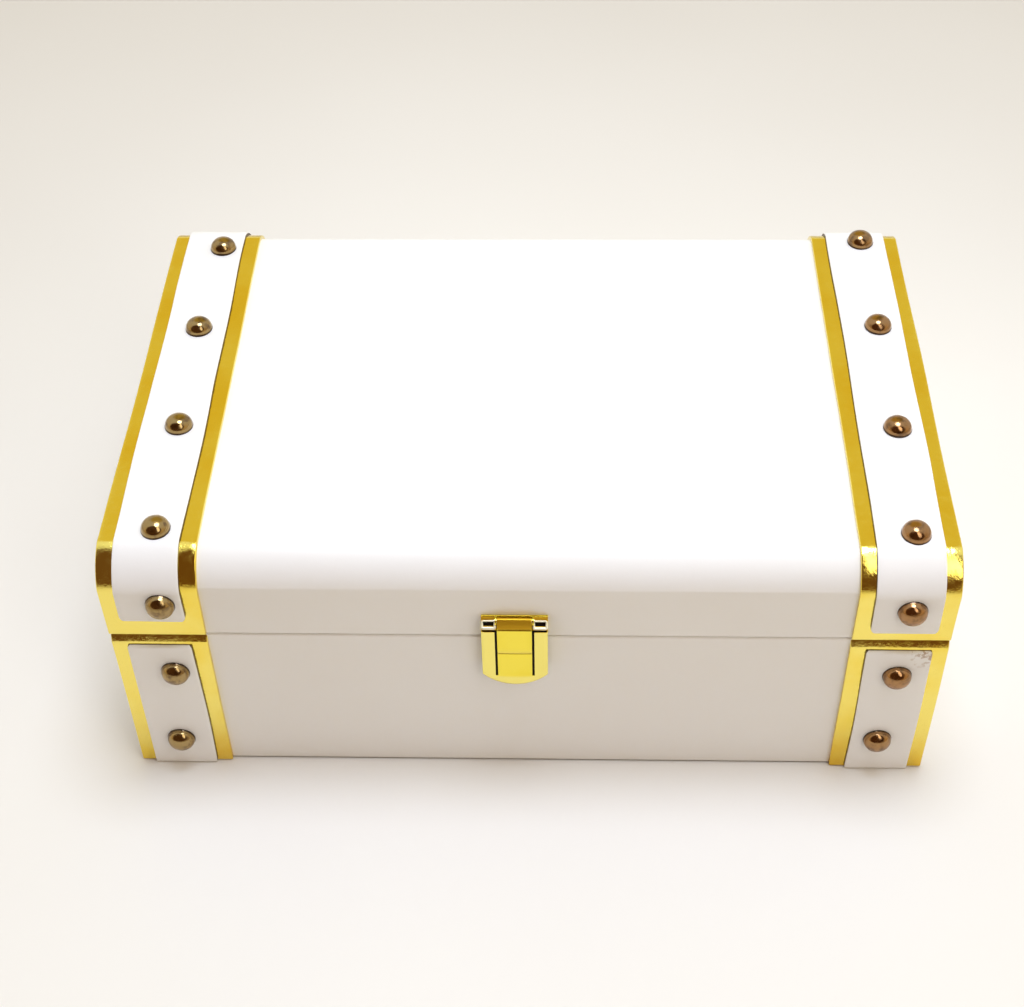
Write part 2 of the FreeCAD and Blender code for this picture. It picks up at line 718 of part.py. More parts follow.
def latch_plate():
    plate = block("latch_plate_sheet", latch_place - latch_half, latch_place + latch_half,
                  plate_front, -half_y, plate_bottom, plate_top)
    parts = [plate]
    windows = []
    for name, side in (("left", -1), ("right", 1)):
        edges = sorted((ear_inner * side, ear_outer * side), key=number)
        low, high = latch_place + edges[0], latch_place + edges[1]
        parts.append(block("latch_ear_" + name, low, high, latch_pin_y, plate_front,
                           latch_pin_z - ear_radius, latch_pin_z + ear_radius))
        parts.append(rod_along_x("latch_ear_round_" + name, low, high, latch_pin_y, latch_pin_z, ear_radius))
        middle = latch_place + slot_place * side
        parts.append(block("latch_prong_" + name, middle - latch_sheet, middle + latch_sheet,
                           -half_y, prong_reach - half_y, plate_bottom, plate_bottom + latch_sheet))
        edges = sorted((window_inner * side, window_outer * side), key=number)
        windows.append(block("latch_window_" + name, latch_place + edges[0], latch_place + edges[1],
                             plate_front - latch_sheet, -half_y, window_bottom, window_top))
    bore = rod_along_x("latch_plate_bore", latch_place - latch_half, latch_place + latch_half,
                       latch_pin_y, latch_pin_z, latch_pin_radius + pin_clearance)
    keep(cut("latch_plate", fuse("latch_plate_body", *parts), bore, *windows), "latch_plate")


def latch_flap():
    """Shield-shaped sheet with two slots, whose middle tongue is rolled around the pin."""
    back = flap_front + latch_sheet
    sagitta = flap_shoulder - flap_bottom
    bow_radius = (latch_half * latch_half + sagitta * sagitta) / (sagitta * 2)
    left, right = latch_place - latch_half, latch_place + latch_half
    body = doc.addObject("PartDesign::Body", "flap_sheet")
    sketch = body.newObject("Sketcher::SketchObject", "flap_sheet_sketch")
    sketch.AttachmentSupport = [(origin_plane(body, "XZ_Plane"), "")]
    sketch.MapMode = "FlatFace"
    sketch.addGeometry(Part.Arc(vector((left, flap_shoulder)), vector((latch_place, flap_bottom)),
                                vector((right, flap_shoulder))))
    corners = [(right, flap_shoulder), (right, wing_top)]
    for side in (1, -1):
        middle = latch_place + slot_place * side
        outer, inner = middle + slot_width / 2 * side, middle - slot_width / 2 * side
        stretch = [(outer, wing_top), (outer, slot_bottom), (inner, slot_bottom), (inner, flap_fold)]
        corners += stretch if side > 0 else list(reversed(stretch))
    corners += [(left, wing_top), (left, flap_shoulder)]
    for start, finish in zip(corners, corners[1:]):
        sketch.addGeometry(Part.LineSegment(vector(start), vector(finish)))
    lines = len(corners) - 1
    for index in range(1, lines):
        sketch.addConstraint(Sketcher.Constraint("Coincident", index, 2, index + 1, 1))
    sketch.addConstraint(Sketcher.Constraint("Coincident", 0, 2, 1, 1))
    sketch.addConstraint(Sketcher.Constraint("Coincident", lines, 2, 0, 1))
    for index in range(lines):
        pin_point(sketch, index + 1, 1, corners[index])
    pin_point(sketch, lines, 2, corners[-1])
    pin_axis(sketch, "DistanceY", 0, 3, flap_bottom + bow_radius)
    sheet_pad = body.newObject("PartDesign::Pad", "flap_sheet_pad")
    sheet_pad.Profile = sketch
    bind(sheet_pad, "Length", latch_sheet)
    bind(body, "Placement.Base.y", back)

    tongue = slot_place - slot_width / 2
    low, high = latch_place - tongue, latch_place + tongue
    lean = math.sqrt(0.5)
    slope = line_loop([(flap_front, flap_fold), (back, flap_fold),
                       (latch_pin_y, latch_pin_z), (latch_pin_y - flap_barrel * lean,
                                                    latch_pin_z + flap_barrel * lean)])
    facet = extrusion("flap_facet", "YZ_Plane", [slope], low, high)
    barrel = rod_along_x("flap_barrel", low, high, latch_pin_y, latch_pin_z, flap_barrel)
    flanges = []
    for name, edge, way in (("left", left, 1), ("right", right, -1)):
        limits = sorted((edge, edge + latch_sheet * way), key=number)
        flanges.append(block("flap_flange_" + name, limits[0], limits[1], flap_front,
                             flap_front + flange_reach, flap_shoulder + latch_sheet, wing_top))
    whole = fuse("flap_whole", body, facet, barrel, *flanges)
    bore = rod_along_x("flap_bore", low - latch_half, high + latch_half, latch_pin_y, latch_pin_z,
                       latch_pin_radius + pin_clearance)
    crease = extrusion("flap_crease", "YZ_Plane", [line_loop([
        (flap_front - crease_depth, crease_place - crease_depth * 2), (flap_front + crease_depth, crease_place),
        (flap_front - crease_depth, crease_place + crease_depth * 2)])], low, high)
    keep(cut("latch_flap", whole, bore, crease), "latch_flap")


def latch_keeper():
    plate = block("keeper_sheet", latch_place - keeper_half, latch_place + keeper_half,
                  plate_front, -half_y, keeper_bottom, keeper_top)
    lug = block("keeper_lug", latch_place - lug_half, latch_place + lug_half, lug_front, plate_front,
                lug_bottom, keeper_top)
    prong = block("keeper_prong", latch_place - latch_sheet, latch_place + latch_sheet,
                  -half_y, prong_reach - half_y, keeper_bottom, keeper_bottom + latch_sheet)
    keep(fuse("latch_keeper", plate, lug, prong), "latch_keeper")


latch_plate()
latch_flap()
latch_keeper()
pin_half = ear_outer + latch_sheet / 2
keep(rod_along_x("latch_pin", latch_place - pin_half, latch_place + pin_half, latch_pin_y, latch_pin_z,
                 latch_pin_radius), "latch_pin")

# ---- check and write -------------------------------------------------------------------------------------
doc.recompute()
for item in doc.Objects:
    bad = [state for state in item.State if state in ("Invalid", "Error")]
    if bad:
        raise RuntimeError(item.Label + " failed: " + ", ".join(bad))
for item in nodes:
    if item.Shape.isNull() or not item.Shape.isValid() or not item.Shape.Solids:
        raise RuntimeError(item.Label + " has no valid solid")

os.makedirs("parts", exist_ok=True)
for item in nodes:
    item.Shape.exportStep(os.path.join("parts", item.Label + ".step"))
print(len(nodes), "sub-parts written")
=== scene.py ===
import json
import math
import random

import bmesh
import bpy
from mathutils import Matrix, Vector, noise


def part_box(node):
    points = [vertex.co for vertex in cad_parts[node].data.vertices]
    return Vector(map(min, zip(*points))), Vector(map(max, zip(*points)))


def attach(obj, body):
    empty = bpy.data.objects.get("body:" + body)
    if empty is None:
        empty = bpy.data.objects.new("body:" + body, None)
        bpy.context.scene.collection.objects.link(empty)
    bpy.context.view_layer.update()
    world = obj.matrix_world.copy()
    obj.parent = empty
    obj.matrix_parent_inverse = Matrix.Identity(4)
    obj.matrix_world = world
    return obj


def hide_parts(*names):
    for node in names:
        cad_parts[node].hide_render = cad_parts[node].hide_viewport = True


# Looks of a white, gold-banded jewellery box. Metres; +X right, -Y front (latch side), +Z up.

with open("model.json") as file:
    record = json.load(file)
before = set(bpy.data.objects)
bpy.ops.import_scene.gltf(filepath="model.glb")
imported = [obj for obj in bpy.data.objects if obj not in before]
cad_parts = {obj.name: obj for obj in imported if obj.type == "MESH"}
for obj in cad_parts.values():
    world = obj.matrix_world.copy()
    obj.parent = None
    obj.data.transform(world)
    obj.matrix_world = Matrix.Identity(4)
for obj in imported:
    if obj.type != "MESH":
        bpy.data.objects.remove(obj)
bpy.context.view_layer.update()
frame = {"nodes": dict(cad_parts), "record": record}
NODES = frame["nodes"]
MM = 0.001
SAME_POINT = 0.002 * MM  # corners this near each other are one
scene = bpy.context.scene


# ---- material helpers ----
MIX_FIRST, MIX_SECOND, MIX_RESULT = 6, 7, 2  # a Mix node's colour sockets


def mix_colors(nodes, links, fac, first, second):
    """Mix two colours, each a tuple or another node's output."""
    node = nodes.new("ShaderNodeMix")
    node.data_type = "RGBA"
    links.new(fac, node.inputs["Factor"])
    for socket, value in ((node.inputs[MIX_FIRST], first), (node.inputs[MIX_SECOND], second)):
        if isinstance(value, tuple):
            socket.default_value = (*value, 1.0)
        else:
            links.new(value, socket)
    return node.outputs[MIX_RESULT]


class Finish:
    """A node material around one Principled shader, with short calls for the usual patterns."""

    def __init__(self, name, color, roughness, metallic=0.0):
        self.material = bpy.data.materials.new(name)
        self.material.use_nodes = True
        self.nodes = self.material.node_tree.nodes
        self.links = self.material.node_tree.links
        self.shader = self.nodes["Principled BSDF"]
        self.put("Base Color", (*color, 1.0))
        self.put("Roughness", roughness)
        self.put("Metallic", metallic)
        self.place = self.nodes.new("ShaderNodeTexCoord").outputs["Object"]
        self.normal = None

    def put(self, socket, value):
        self.shader.inputs[socket].default_value = value

    def mapped(self, scale):
        node = self.nodes.new("ShaderNodeMapping")
        node.inputs["Scale"].default_value = scale
        self.links.new(self.place, node.inputs["Vector"])
        return node.outputs["Vector"]

    def noise(self, per_metre, detail=3.0, stretch=(1, 1, 1), distortion=0.0, rough=0.5):
        node = self.nodes.new("ShaderNodeTexNoise")
        node.inputs["Scale"].default_value = per_metre
        node.inputs["Detail"].default_value = detail
        node.inputs["Roughness"].default_value = rough
        node.inputs["Distortion"].default_value = distortion
        self.links.new(self.mapped(stretch), node.inputs["Vector"])
        return node.outputs["Fac"]

    def cells(self, per_metre, feature="F1", jitter=1.0):
        node = self.nodes.new("ShaderNodeTexVoronoi")
        node.feature = feature
        node.inputs["Scale"].default_value = per_metre
        node.inputs["Randomness"].default_value = jitter
        self.links.new(self.mapped((1, 1, 1)), node.inputs["Vector"])
        return node.outputs["Distance"]

    def height(self):
        """Height above the floor with the part at rest."""
        node = self.nodes.new("ShaderNodeSeparateXYZ")
        self.links.new(self.place, node.inputs["Vector"])
        return node.outputs["Z"]

    def attribute(self, name):
        node = self.nodes.new("ShaderNodeAttribute")
        node.attribute_name = name
        return node.outputs["Fac"]

    def fit(self, fac, low, high, to_low, to_high):
        node = self.nodes.new("ShaderNodeMapRange")
        node.interpolation_type = "SMOOTHSTEP"
        limits = {"From Min": low, "From Max": high, "To Min": to_low, "To Max": to_high}
        for socket, value in limits.items():
            node.inputs[socket].default_value = value
        self.links.new(fac, node.inputs["Value"])
        return node.outputs["Result"]

    def blend(self, fac, first, second):
        return mix_colors(self.nodes, self.links, fac, first, second)

    def times(self, first, second):
        node = self.nodes.new("ShaderNodeMath")
        node.operation = "MULTIPLY"
        self.links.new(first, node.inputs[0])
        self.links.new(second, node.inputs[1])
        return node.outputs[0]

    def color(self, output):
        self.links.new(output, self.shader.inputs["Base Color"])

    def roughness(self, output):
        self.links.new(output, self.shader.inputs["Roughness"])

    def bump(self, height, depth, strength=1.0):
        """Add one layer of relief, depth in metres."""
        node = self.nodes.new("ShaderNodeBump")
        node.inputs["Strength"].default_value = strength
        node.inputs["Distance"].default_value = depth
        self.links.new(height, node.inputs["Height"])
        if self.normal is not None:
            self.links.new(self.normal, node.inputs["Normal"])
        self.normal = node.outputs["Normal"]
        self.links.new(self.normal, self.shader.inputs["Normal"])


def leatherette(name, color, shade):
    """Smooth white wrapping over slightly uneven board: hardly any grain, scuffs, and dark cut edges,
    coloured nearly black as painted shade for the gaps beside them; the cover's foot takes the same colour
    as painted contact shade.
    """
    board, dark_cut_and_shade = (0.42, 0.27, 0.15), (0.09, 0.055, 0.035)
    finish = Finish(name, color, 0.42)
    face = finish.blend(finish.fit(finish.noise(9, 4), 0.35, 0.7, 0, 1), color, shade)
    flecks = finish.fit(finish.noise(420, 5, rough=0.6), 0.50, 0.58, 0, 1)
    face = finish.blend(finish.times(finish.attribute("worn"), flecks), face, board)
    # Painted shade: the marked cut edges of the strips and the cover's foot are coloured nearly black, for
    # the shade in the gaps there and under the cover.
    finish.color(finish.blend(finish.attribute("cut_and_shade"), face, dark_cut_and_shade))
    finish.roughness(finish.fit(finish.noise(160, 4), 0.3, 0.75, 0.36, 0.5))
    finish.put("Specular IOR Level", 0.45)
    finish.bump(finish.noise(14, 2), 0.35 * MM, 0.35)
    finish.bump(finish.cells(900), 0.03 * MM, 0.25)
    finish.bump(finish.noise(2600, 2), 0.015 * MM, 0.4)
    return finish.material


def gold_foil(name):
    """Metallised foil over a soft strip: mirror-like, wrinkled and speckled, and amber in patches towards
    the bottom, a painted reflection of the warm shaded floor.
    """
    pale, deep, amber = (0.91, 0.745, 0.17), (0.88, 0.655, 0.085), (0.84, 0.53, 0.05)
    painted_reflection_top = 30 * MM
    finish = Finish(name, pale, 0.12, 1.0)
    face = finish.blend(finish.fit(finish.noise(35, 4), 0.38, 0.70, 0, 1), pale, deep)
    # Painted reflection: from the floor up to 30 mm the foil turns amber in patches, for the warm shaded
    # floor it mirrors.
    painted_reflection = finish.fit(finish.height(), 0, painted_reflection_top, 1, 0)
    patches = finish.fit(finish.noise(48, 4, distortion=0.4), 0.30, 0.62, 0.15, 1)
    finish.color(finish.blend(finish.times(painted_reflection, patches), face, amber))
    finish.roughness(finish.fit(finish.noise(420, 5), 0.35, 0.75, 0.08, 0.24))
    finish.bump(finish.noise(55, 2, distortion=0.6), 0.5 * MM, 0.28)
    finish.bump(finish.noise(900, 4), 0.14 * MM, 0.5)
    finish.bump(finish.fit(finish.cells(1500), 0.0, 0.22, 1, 0), 0.03 * MM, 0.45)
    return finish.material


def antique_bronze(name):
    """Lacquered bronze nail heads, some redder than others, with a dark foot that is patina and painted
    shade under the rim.
    """
    olive, red = (0.36, 0.245, 0.095), (0.36, 0.19, 0.075)
    patina, foot = (0.13, 0.075, 0.04), (0.05, 0.03, 0.018)
    finish = Finish(name, (0.5, 0.38, 0.2), 0.14, 1.0)
    reddened = finish.fit(finish.noise(7, 1, stretch=(1, 0.4, 0.4)), 0.42, 0.6, 0, 1)
    tone = finish.blend(reddened, olive, red)
    tone = finish.blend(finish.fit(finish.noise(330, 4), 0.46, 0.72, 0, 0.85), tone, patina)
    # The foot rings are coloured near black: patina plus painted shade where the head meets the cover.
    finish.color(finish.blend(finish.attribute("foot"), tone, foot))
    finish.roughness(finish.fit(finish.noise(500, 4), 0.35, 0.8, 0.09, 0.30))
    finish.bump(finish.noise(260, 3), 0.16 * MM, 0.6)
    finish.put("Coat Weight", 0.25)
    finish.put("Coat Roughness", 0.05)
    return finish.material


def plated(name, color, shade, low, high, metallic=1.0, stamped=False):
    """Plated sheet metal, low and high its roughness; stamped adds the latch's pale places and satin places,
    whose deeper amber colour is a painted reflection of the dim warm room.
    """
    finish = Finish(name, color, low, metallic)
    tone = finish.blend(finish.fit(finish.noise(90, 3), 0.4, 0.75, 0, 1), color, shade)
    gloss = finish.fit(finish.noise(220, 3), 0.35, 0.75, low, high)
    if stamped:
        # Satin places: rougher, and coloured deeper amber as a painted reflection of the dim warm room the
        # sloped tops face.
        pale, satin, satin_gloss = (0.90, 0.78, 0.22), (0.86, 0.54, 0.035), (0.42, 0.42, 0.42)
        tone = finish.blend(finish.attribute("pale"), tone, pale)
        tone = finish.blend(finish.attribute("satin"), tone, satin)
        gloss = finish.blend(finish.attribute("satin"), gloss, satin_gloss)
    finish.color(tone)
    finish.roughness(gloss)
    finish.bump(finish.noise(110, 2), 0.10 * MM, 0.15)
    finish.bump(finish.noise(900, 2), 0.004 * MM, 0.2)
    return finish.material


def velvet(name, color, shade):
    """Short-pile velvet with brushed patches."""
    finish = Finish(name, color, 0.85)
    brushed = finish.fit(finish.noise(60, 4, distortion=0.8), 0.3, 0.75, 0, 1)
    finish.color(finish.blend(brushed, color, shade))
    finish.put("Sheen Weight", 0.6)
    finish.put("Sheen Roughness", 0.35)
    finish.put("Sheen Tint", (1.0, 0.96, 0.88, 1.0))
    finish.put("Specular IOR Level", 0.15)
    finish.bump(finish.noise(90, 3, distortion=0.5), 0.15 * MM, 0.3)
    finish.bump(finish.noise(2600, 3, rough=0.7), 0.14 * MM, 0.7)
    return finish.material


def felt(name, color, shade):
    finish = Finish(name, color, 0.95)
    fibres = finish.fit(finish.noise(500, 5, rough=0.7), 0.35, 0.7, 0, 1)
    finish.color(finish.blend(fibres, color, shade))
    finish.put("Specular IOR Level", 0.1)
    finish.bump(finish.noise(1800, 4, distortion=1.2, rough=0.7), 0.15 * MM, 0.7)
    return finish.material


def fibreboard(name):
    color, shade = (0.42, 0.29, 0.17), (0.30, 0.20, 0.115)
    finish = Finish(name, color, 0.8)
    chips = finish.fit(finish.noise(900, 6, stretch=(0.3, 1, 1), rough=0.8), 0.35, 0.7, 0, 1)
    finish.color(finish.blend(chips, color, shade))
    finish.bump(finish.noise(1600, 4, stretch=(0.3, 1, 1)), 0.08 * MM, 0.6)
    return finish.material


def floor_cloth(name):
    color, shade = (0.86, 0.832, 0.775), (0.84, 0.81, 0.75)
    finish = Finish(name, color, 0.9)
    finish.color(finish.blend(finish.fit(finish.noise(3, 2), 0.35, 0.7, 0, 1), color, shade))
    finish.put("Specular IOR Level", 0.1)
    finish.bump(finish.noise(900, 3), 0.1 * MM, 0.2)
    return finish.material


# Each slot's kind of material, with what that kind's function takes after the name.
RECIPES = {
    "white_leatherette": (leatherette, (0.90, 0.885, 0.855), (0.885, 0.865, 0.83)),
    "white_strap_leatherette": (leatherette, (0.905, 0.89, 0.865), (0.89, 0.87, 0.84)),
    "gold_foil": (gold_foil,),
    "antique_bronze": (antique_bronze,),
    "gold_plate": (plated, (0.90, 0.735, 0.08), (0.87, 0.69, 0.06), 0.07, 0.15, 1.0, True),
    "steel_pin": (plated, (0.62, 0.56, 0.44), (0.45, 0.40, 0.32), 0.22, 0.4),
    "hinge_brass": (plated, (0.75, 0.53, 0.20), (0.60, 0.40, 0.15), 0.18, 0.36),
    "base_felt": (felt, (0.72, 0.69, 0.63), (0.62, 0.59, 0.53)),
    "ring_roll_velvet": (velvet, (0.74, 0.66, 0.54), (0.70, 0.615, 0.495)),
    "padded_velvet": (velvet, (0.74, 0.66, 0.54), (0.70, 0.615, 0.495)),
    "velvet_lining": (velvet, (0.72, 0.64, 0.52), (0.66, 0.575, 0.455)),
    "tray_velvet_board": (velvet, (0.73, 0.65, 0.53), (0.66, 0.575, 0.455)),
    "fibreboard": (fibreboard,),
}
MATERIALS = {slot: make(slot, *values) for slot, (make, *values) in RECIPES.items()}
# Near-black and hardly shiny: painted shade for the gaps in the latch.
PAINTED_SHADE_SHEET = plated("painted_shade_sheet", (0.010, 0.006, 0.005), (0.006, 0.004, 0.003), 0.6, 0.8, 0.0)
PAINTED_SHADE_SHEET.node_tree.nodes["Principled BSDF"].inputs["Specular IOR Level"].default_value = 0.1
SCREW_BRASS = plated("screw_brass", (0.52, 0.40, 0.20), (0.38, 0.28, 0.13), 0.25, 0.4)
# Pale cream and hardly metallic: a painted highlight for the beads round the latch windows.
PAINTED_HIGHLIGHT_PLATE = plated("painted_highlight_plate", (0.95, 0.90, 0.66), (0.93, 0.85, 0.52), 0.12, 0.25, 0.25)
RECORD = frame["record"]
SLOT_OF = {part["node"]: part["material_slot"] for part in RECORD["subparts"]}
BODY_OF = {node: body for body, members in RECORD["behaviour"]["bodies"].items() for node in members}

for node, item in NODES.items():
    item.data.materials.clear()
    item.data.materials.append(MATERIALS[SLOT_OF[node]])


# ---- piece helpers ----
def piece(name, mesh, node, stands_for=None):
    """Make an object of a mesh, in the finish and on the body of a CAD node."""
    item = bpy.data.objects.new(name, mesh)
    scene.collection.objects.link(item)
    mesh.materials.clear()
    mesh.materials.append(MATERIALS[SLOT_OF[node]])
    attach(item, BODY_OF[node])
    if stands_for:
        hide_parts(*stands_for)
    return item


def settle(item):
    """Apply an object's modifiers to its mesh."""
    bpy.context.view_layer.update()
    seen = item.evaluated_get(bpy.context.evaluated_depsgraph_get())
    mesh = bpy.data.meshes.new_from_object(seen)
    item.modifiers.clear()
    item.data = mesh
    return item


def to_mesh(name, work):
    mesh = bpy.data.meshes.new(name)
    work.to_mesh(mesh)
    work.free()
    return mesh


def skin(work, rings):
    """Join each ring of vertices to the next with quads."""
    for first, second in zip(rings, rings[1:]):
        for index in range(len(first)):
            after = (index + 1) % len(first)
            work.faces.new((first[index], first[after], second[after], second[index]))


def smooth(mesh, degrees):
    """Shade a mesh smooth but for the edges that turn by more than degrees."""
    for polygon in mesh.polygons:
        polygon.use_smooth = True
    mesh.set_sharp_from_angle(angle=math.radians(degrees))


# The lid's long edges: a flattened arc that meets the top and the front at slight creases.
LID_ROUND = 11 * MM
TILT_START, TILT_END = math.radians(18), math.radians(72)
ARC_RADIUS = LID_ROUND * math.sqrt(2) / (2 * math.sin((TILT_END - TILT_START) / 2))
ARC_SHIFT = ARC_RADIUS * math.sin(TILT_START)
CREASE_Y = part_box("lid_cover")[1].y - LID_ROUND
CREASE_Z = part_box("lid_cover")[1].z - LID_ROUND


def on_arc(tilt, above, side):
    """Point and normal on the lid's long edge; side is -1 in front and 1 behind."""
    reach = ARC_RADIUS + above
    across = CREASE_Y - ARC_SHIFT + reach * math.sin(tilt)
    up = CREASE_Z + LID_ROUND - ARC_RADIUS * math.cos(TILT_START) + reach * math.cos(tilt)
    return Vector((0, side * across, up)), Vector((0, side * math.sin(tilt), math.cos(tilt)))


def flatten_round(work):
    """Move the quarter rounds of a part of the lid onto the flattened arc."""
    margin, inner_round = 0.01 * MM, 5 * MM
    for vertex in work.verts:
        across, up = abs(vertex.co.y) - CREASE_Y, vertex.co.z - CREASE_Z
        reach = math.hypot(across, up)
        if min(across, up) > -margin and reach > inner_round:
            turn = math.atan2(max(across, 0.0), max(up, 0.0)) / (math.pi / 2)
            tilt = TILT_START + (TILT_END - TILT_START) * turn
            place, _ = on_arc(tilt, reach - LID_ROUND, math.copysign(1, vertex.co.y))
            vertex.co.y, vertex.co.z = place.y, place.z
    work.normal_update()


def soften(node, width, segments=3, crease=0.0, share=None):
    """Replace a sharp CAD sheet or board by the same shape with rounded edges.

    crease is the share of width for the slight creases; share(middle) gives it for sharp edges.
    """
    flat_angle, crease_angle, sharp_angle = 0.5, 12, 32
    mesh = NODES[node].data.copy()
    work = bmesh.new()
    work.from_mesh(mesh)
    bmesh.ops.remove_doubles(work, verts=work.verts, dist=SAME_POINT)
    bmesh.ops.dissolve_limit(work, angle_limit=math.radians(flat_angle), verts=work.verts, edges=work.edges)
    if node.startswith("lid_"):
        flatten_round(work)
    weights = work.edges.layers.float.new("bevel_weight_edge")
    for edge in work.edges:
        angle = math.degrees(edge.calc_face_angle(0)) if len(edge.link_faces) == 2 else 0
        if angle > sharp_angle:
            middle = (edge.verts[0].co + edge.verts[1].co) / 2
            edge[weights] = share(middle) if share else 1.0
        elif angle > crease_angle:
            edge[weights] = crease
    work.to_mesh(mesh)
    work.free()
    item = piece(node + "_soft", mesh, node, [node])
    bevel = item.modifiers.new("round", "BEVEL")
    bevel.limit_method = "WEIGHT"
    bevel.width = width
    bevel.segments = segments
    bevel.harden_normals = True
    smooth(mesh, 35)
    return settle(item)


def strip(name, node, path, low_x, high_x, low, thickness, edge, lips, corners, waves, seed, worn):
    """A hand-laid strip: a rounded band carried along path, with slightly uneven edges and surface.

    path is a list of (point, outward normal) in the YZ plane, and low is the strip's inside above it.
    lips are (length, power) of the rounded-off ends, where power 2 is round and 1 a chamfer; corners are the
    radii of the corners there. waves is how far the edges wander, and worn a scuffed place.
    """
    columns = max(4, round((high_x - low_x) / STEP))
    turns = 4  # quads round each long edge
    inward = 0.68  # keeps the wandering edges inside low_x and high_x
    edge_waves, face_waves = 18, 60  # per metre
    lift_share, end_share = 0.3, 0.03

    def inset_of(along, lane):
        return waves * (inward + noise.noise(Vector((along * edge_waves, seed, lane))))

    work = bmesh.new()
    cut_and_shade_layer, worn_layer = (work.verts.layers.float.new(label) for label in ("cut_and_shade", "worn"))
    # Half of the cross-section, as (x in from the edge, height, 1 where the cut edge shows and is coloured
    # dark as painted shade).
    rounded = [(0.0, 0.0, 1.0)]
    for step in range(turns + 1):
        turn = math.pi / 2 * step / turns
        height = thickness - edge * (1 - math.sin(turn))
        rounded.append((edge * (1 - math.cos(turn)), height, float(step == 0)))
    length = [0.0]
    for first, second in zip(path, path[1:]):
        length.append(length[-1] + (second[0] - first[0]).length)
    rows = []
    for index, (point, normal) in enumerate(path):
        along = length[index]
        fold, inset = 1.0, 0.0
        for gone, (lip, power), corner in zip((along, length[-1] - along), lips, corners):
            if gone < lip:
                fold = min(fold, (1 - (1 - max(gone, 0) / lip) ** power) ** (1 / power))
            if gone < corner:
                inset = max(inset, corner - math.sqrt(corner ** 2 - (corner - gone) ** 2))
        left = low_x + inset + inset_of(along, 0.0)
        right = high_x - inset - inset_of(along, 7.0)
        ring = [(left + x, height, cut_and_shade) for x, height, cut_and_shade in rounded]
        for step in range(1, columns):
            ring.append((left + edge + (right - left - 2 * edge) * step / columns, thickness, 0.0))
        ring += [(right - x, height, cut_and_shade) for x, height, cut_and_shade in reversed(rounded)]
        row = []
        for x, height, cut_and_shade in ring:
            lift = waves * lift_share * noise.noise(Vector((x * face_waves, along * face_waves, seed)))
            rise = (height + lift * min(1.0, height / thickness)) * (end_share + (1 - end_share) * fold)
            place = point + normal * (low + max(0.0, rise))
            place.x = x
            vertex = work.verts.new(place)
            # Side walls and both ends are marked dark: cut edges painted darker for the shade of the gaps
            # beside them.
            vertex[cut_and_shade_layer] = 1.0 if index in (0, len(path) - 1) else cut_and_shade
            vertex[worn_layer] = max(0.0, 1 - (place - worn).length / WORN_REACH)
            row.append(vertex)
        rows.append(row)
    skin(work, rows)
    work.faces.new(list(reversed(rows[0])))
    work.faces.new(rows[-1])
    bmesh.ops.recalc_face_normals(work, faces=work.faces)
    mesh = to_mesh(name, work)
    smooth(mesh, 50)
    piece(name, mesh, node, [node])


def line_path(start, end, normal):
    count = max(1, round((end - start).length / STEP))
    return [(start.lerp(end, index / count), normal) for index in range(count + 1)]


def islands(mesh):
    """Lowest and highest corners of each loose part of a mesh."""
    work = bmesh.new()
    work.from_mesh(mesh)
    bmesh.ops.remove_doubles(work, verts=work.verts, dist=SAME_POINT)
    left, found = set(work.verts), []
    while left:
        stack, members = [left.pop()], []
        while stack:
            vertex = stack.pop()
            members.append(vertex.co.copy())
            for edge in vertex.link_edges:
                other = edge.other_vert(vertex)
                if other in left:
                    left.remove(other)
                    stack.append(other)
        found.append((Vector(map(min, zip(*members))), Vector(map(max, zip(*members)))))
    work.free()
    return sorted(found, key=lambda box: tuple(box[0]))


def lathe(work, profile, place, segments):
    """Turn (radius, height) points around Z, close both ends, and put the form at place."""
    rings = []
    for radius, height in profile:
        angles = [math.tau * turn / segments for turn in range(segments)]
        ring = [Vector((radius * math.cos(angle), radius * math.sin(angle), height)) for angle in angles]
        rings.append([work.verts.new(place @ point) for point in ring])
    skin(work, rings)
    work.faces.new(list(reversed(rings[0])))
    work.faces.new(rings[-1])


# ---- camera and light ----
def make_camera():
    """The photograph's viewpoint: standing in front of the box, looking down on it at 45 degrees."""
    data = bpy.data.cameras.new("view")
    data.sensor_width = 36.0
    data.lens = 61.64
    camera = bpy.data.objects.new("view", data)
    yaw, pitch, roll = (math.radians(angle) for angle in (2.336, 45.228, 1.339))
    turn = Matrix.Rotation(yaw, 3, "Z") @ Matrix.Rotation(-pitch, 3, "X") @ Matrix.Rotation(roll, 3, "Y")
    right, forward, up = turn.col[0], turn.col[1], turn.col[2]
    axes = Matrix((right, up, -forward)).transposed()
    camera.matrix_world = Matrix.Translation(Vector((12.41, -513.09, 559.55)) * MM) @ axes.to_4x4()
    scene.collection.objects.link(camera)
    scene.camera = camera


def area_light(name, place, target, width, depth, power, color, spread):
    data = bpy.data.lights.new(name, "AREA")
    data.shape = "ELLIPSE"
    data.size = width
    data.size_y = depth
    data.spread = math.radians(spread)
    data.energy = power
    data.color = color
    light = bpy.data.objects.new(name, data)
    light.location = place
    light.rotation_euler = (Vector(target) - Vector(place)).to_track_quat("-Z", "Y").to_euler()
    scene.collection.objects.link(light)


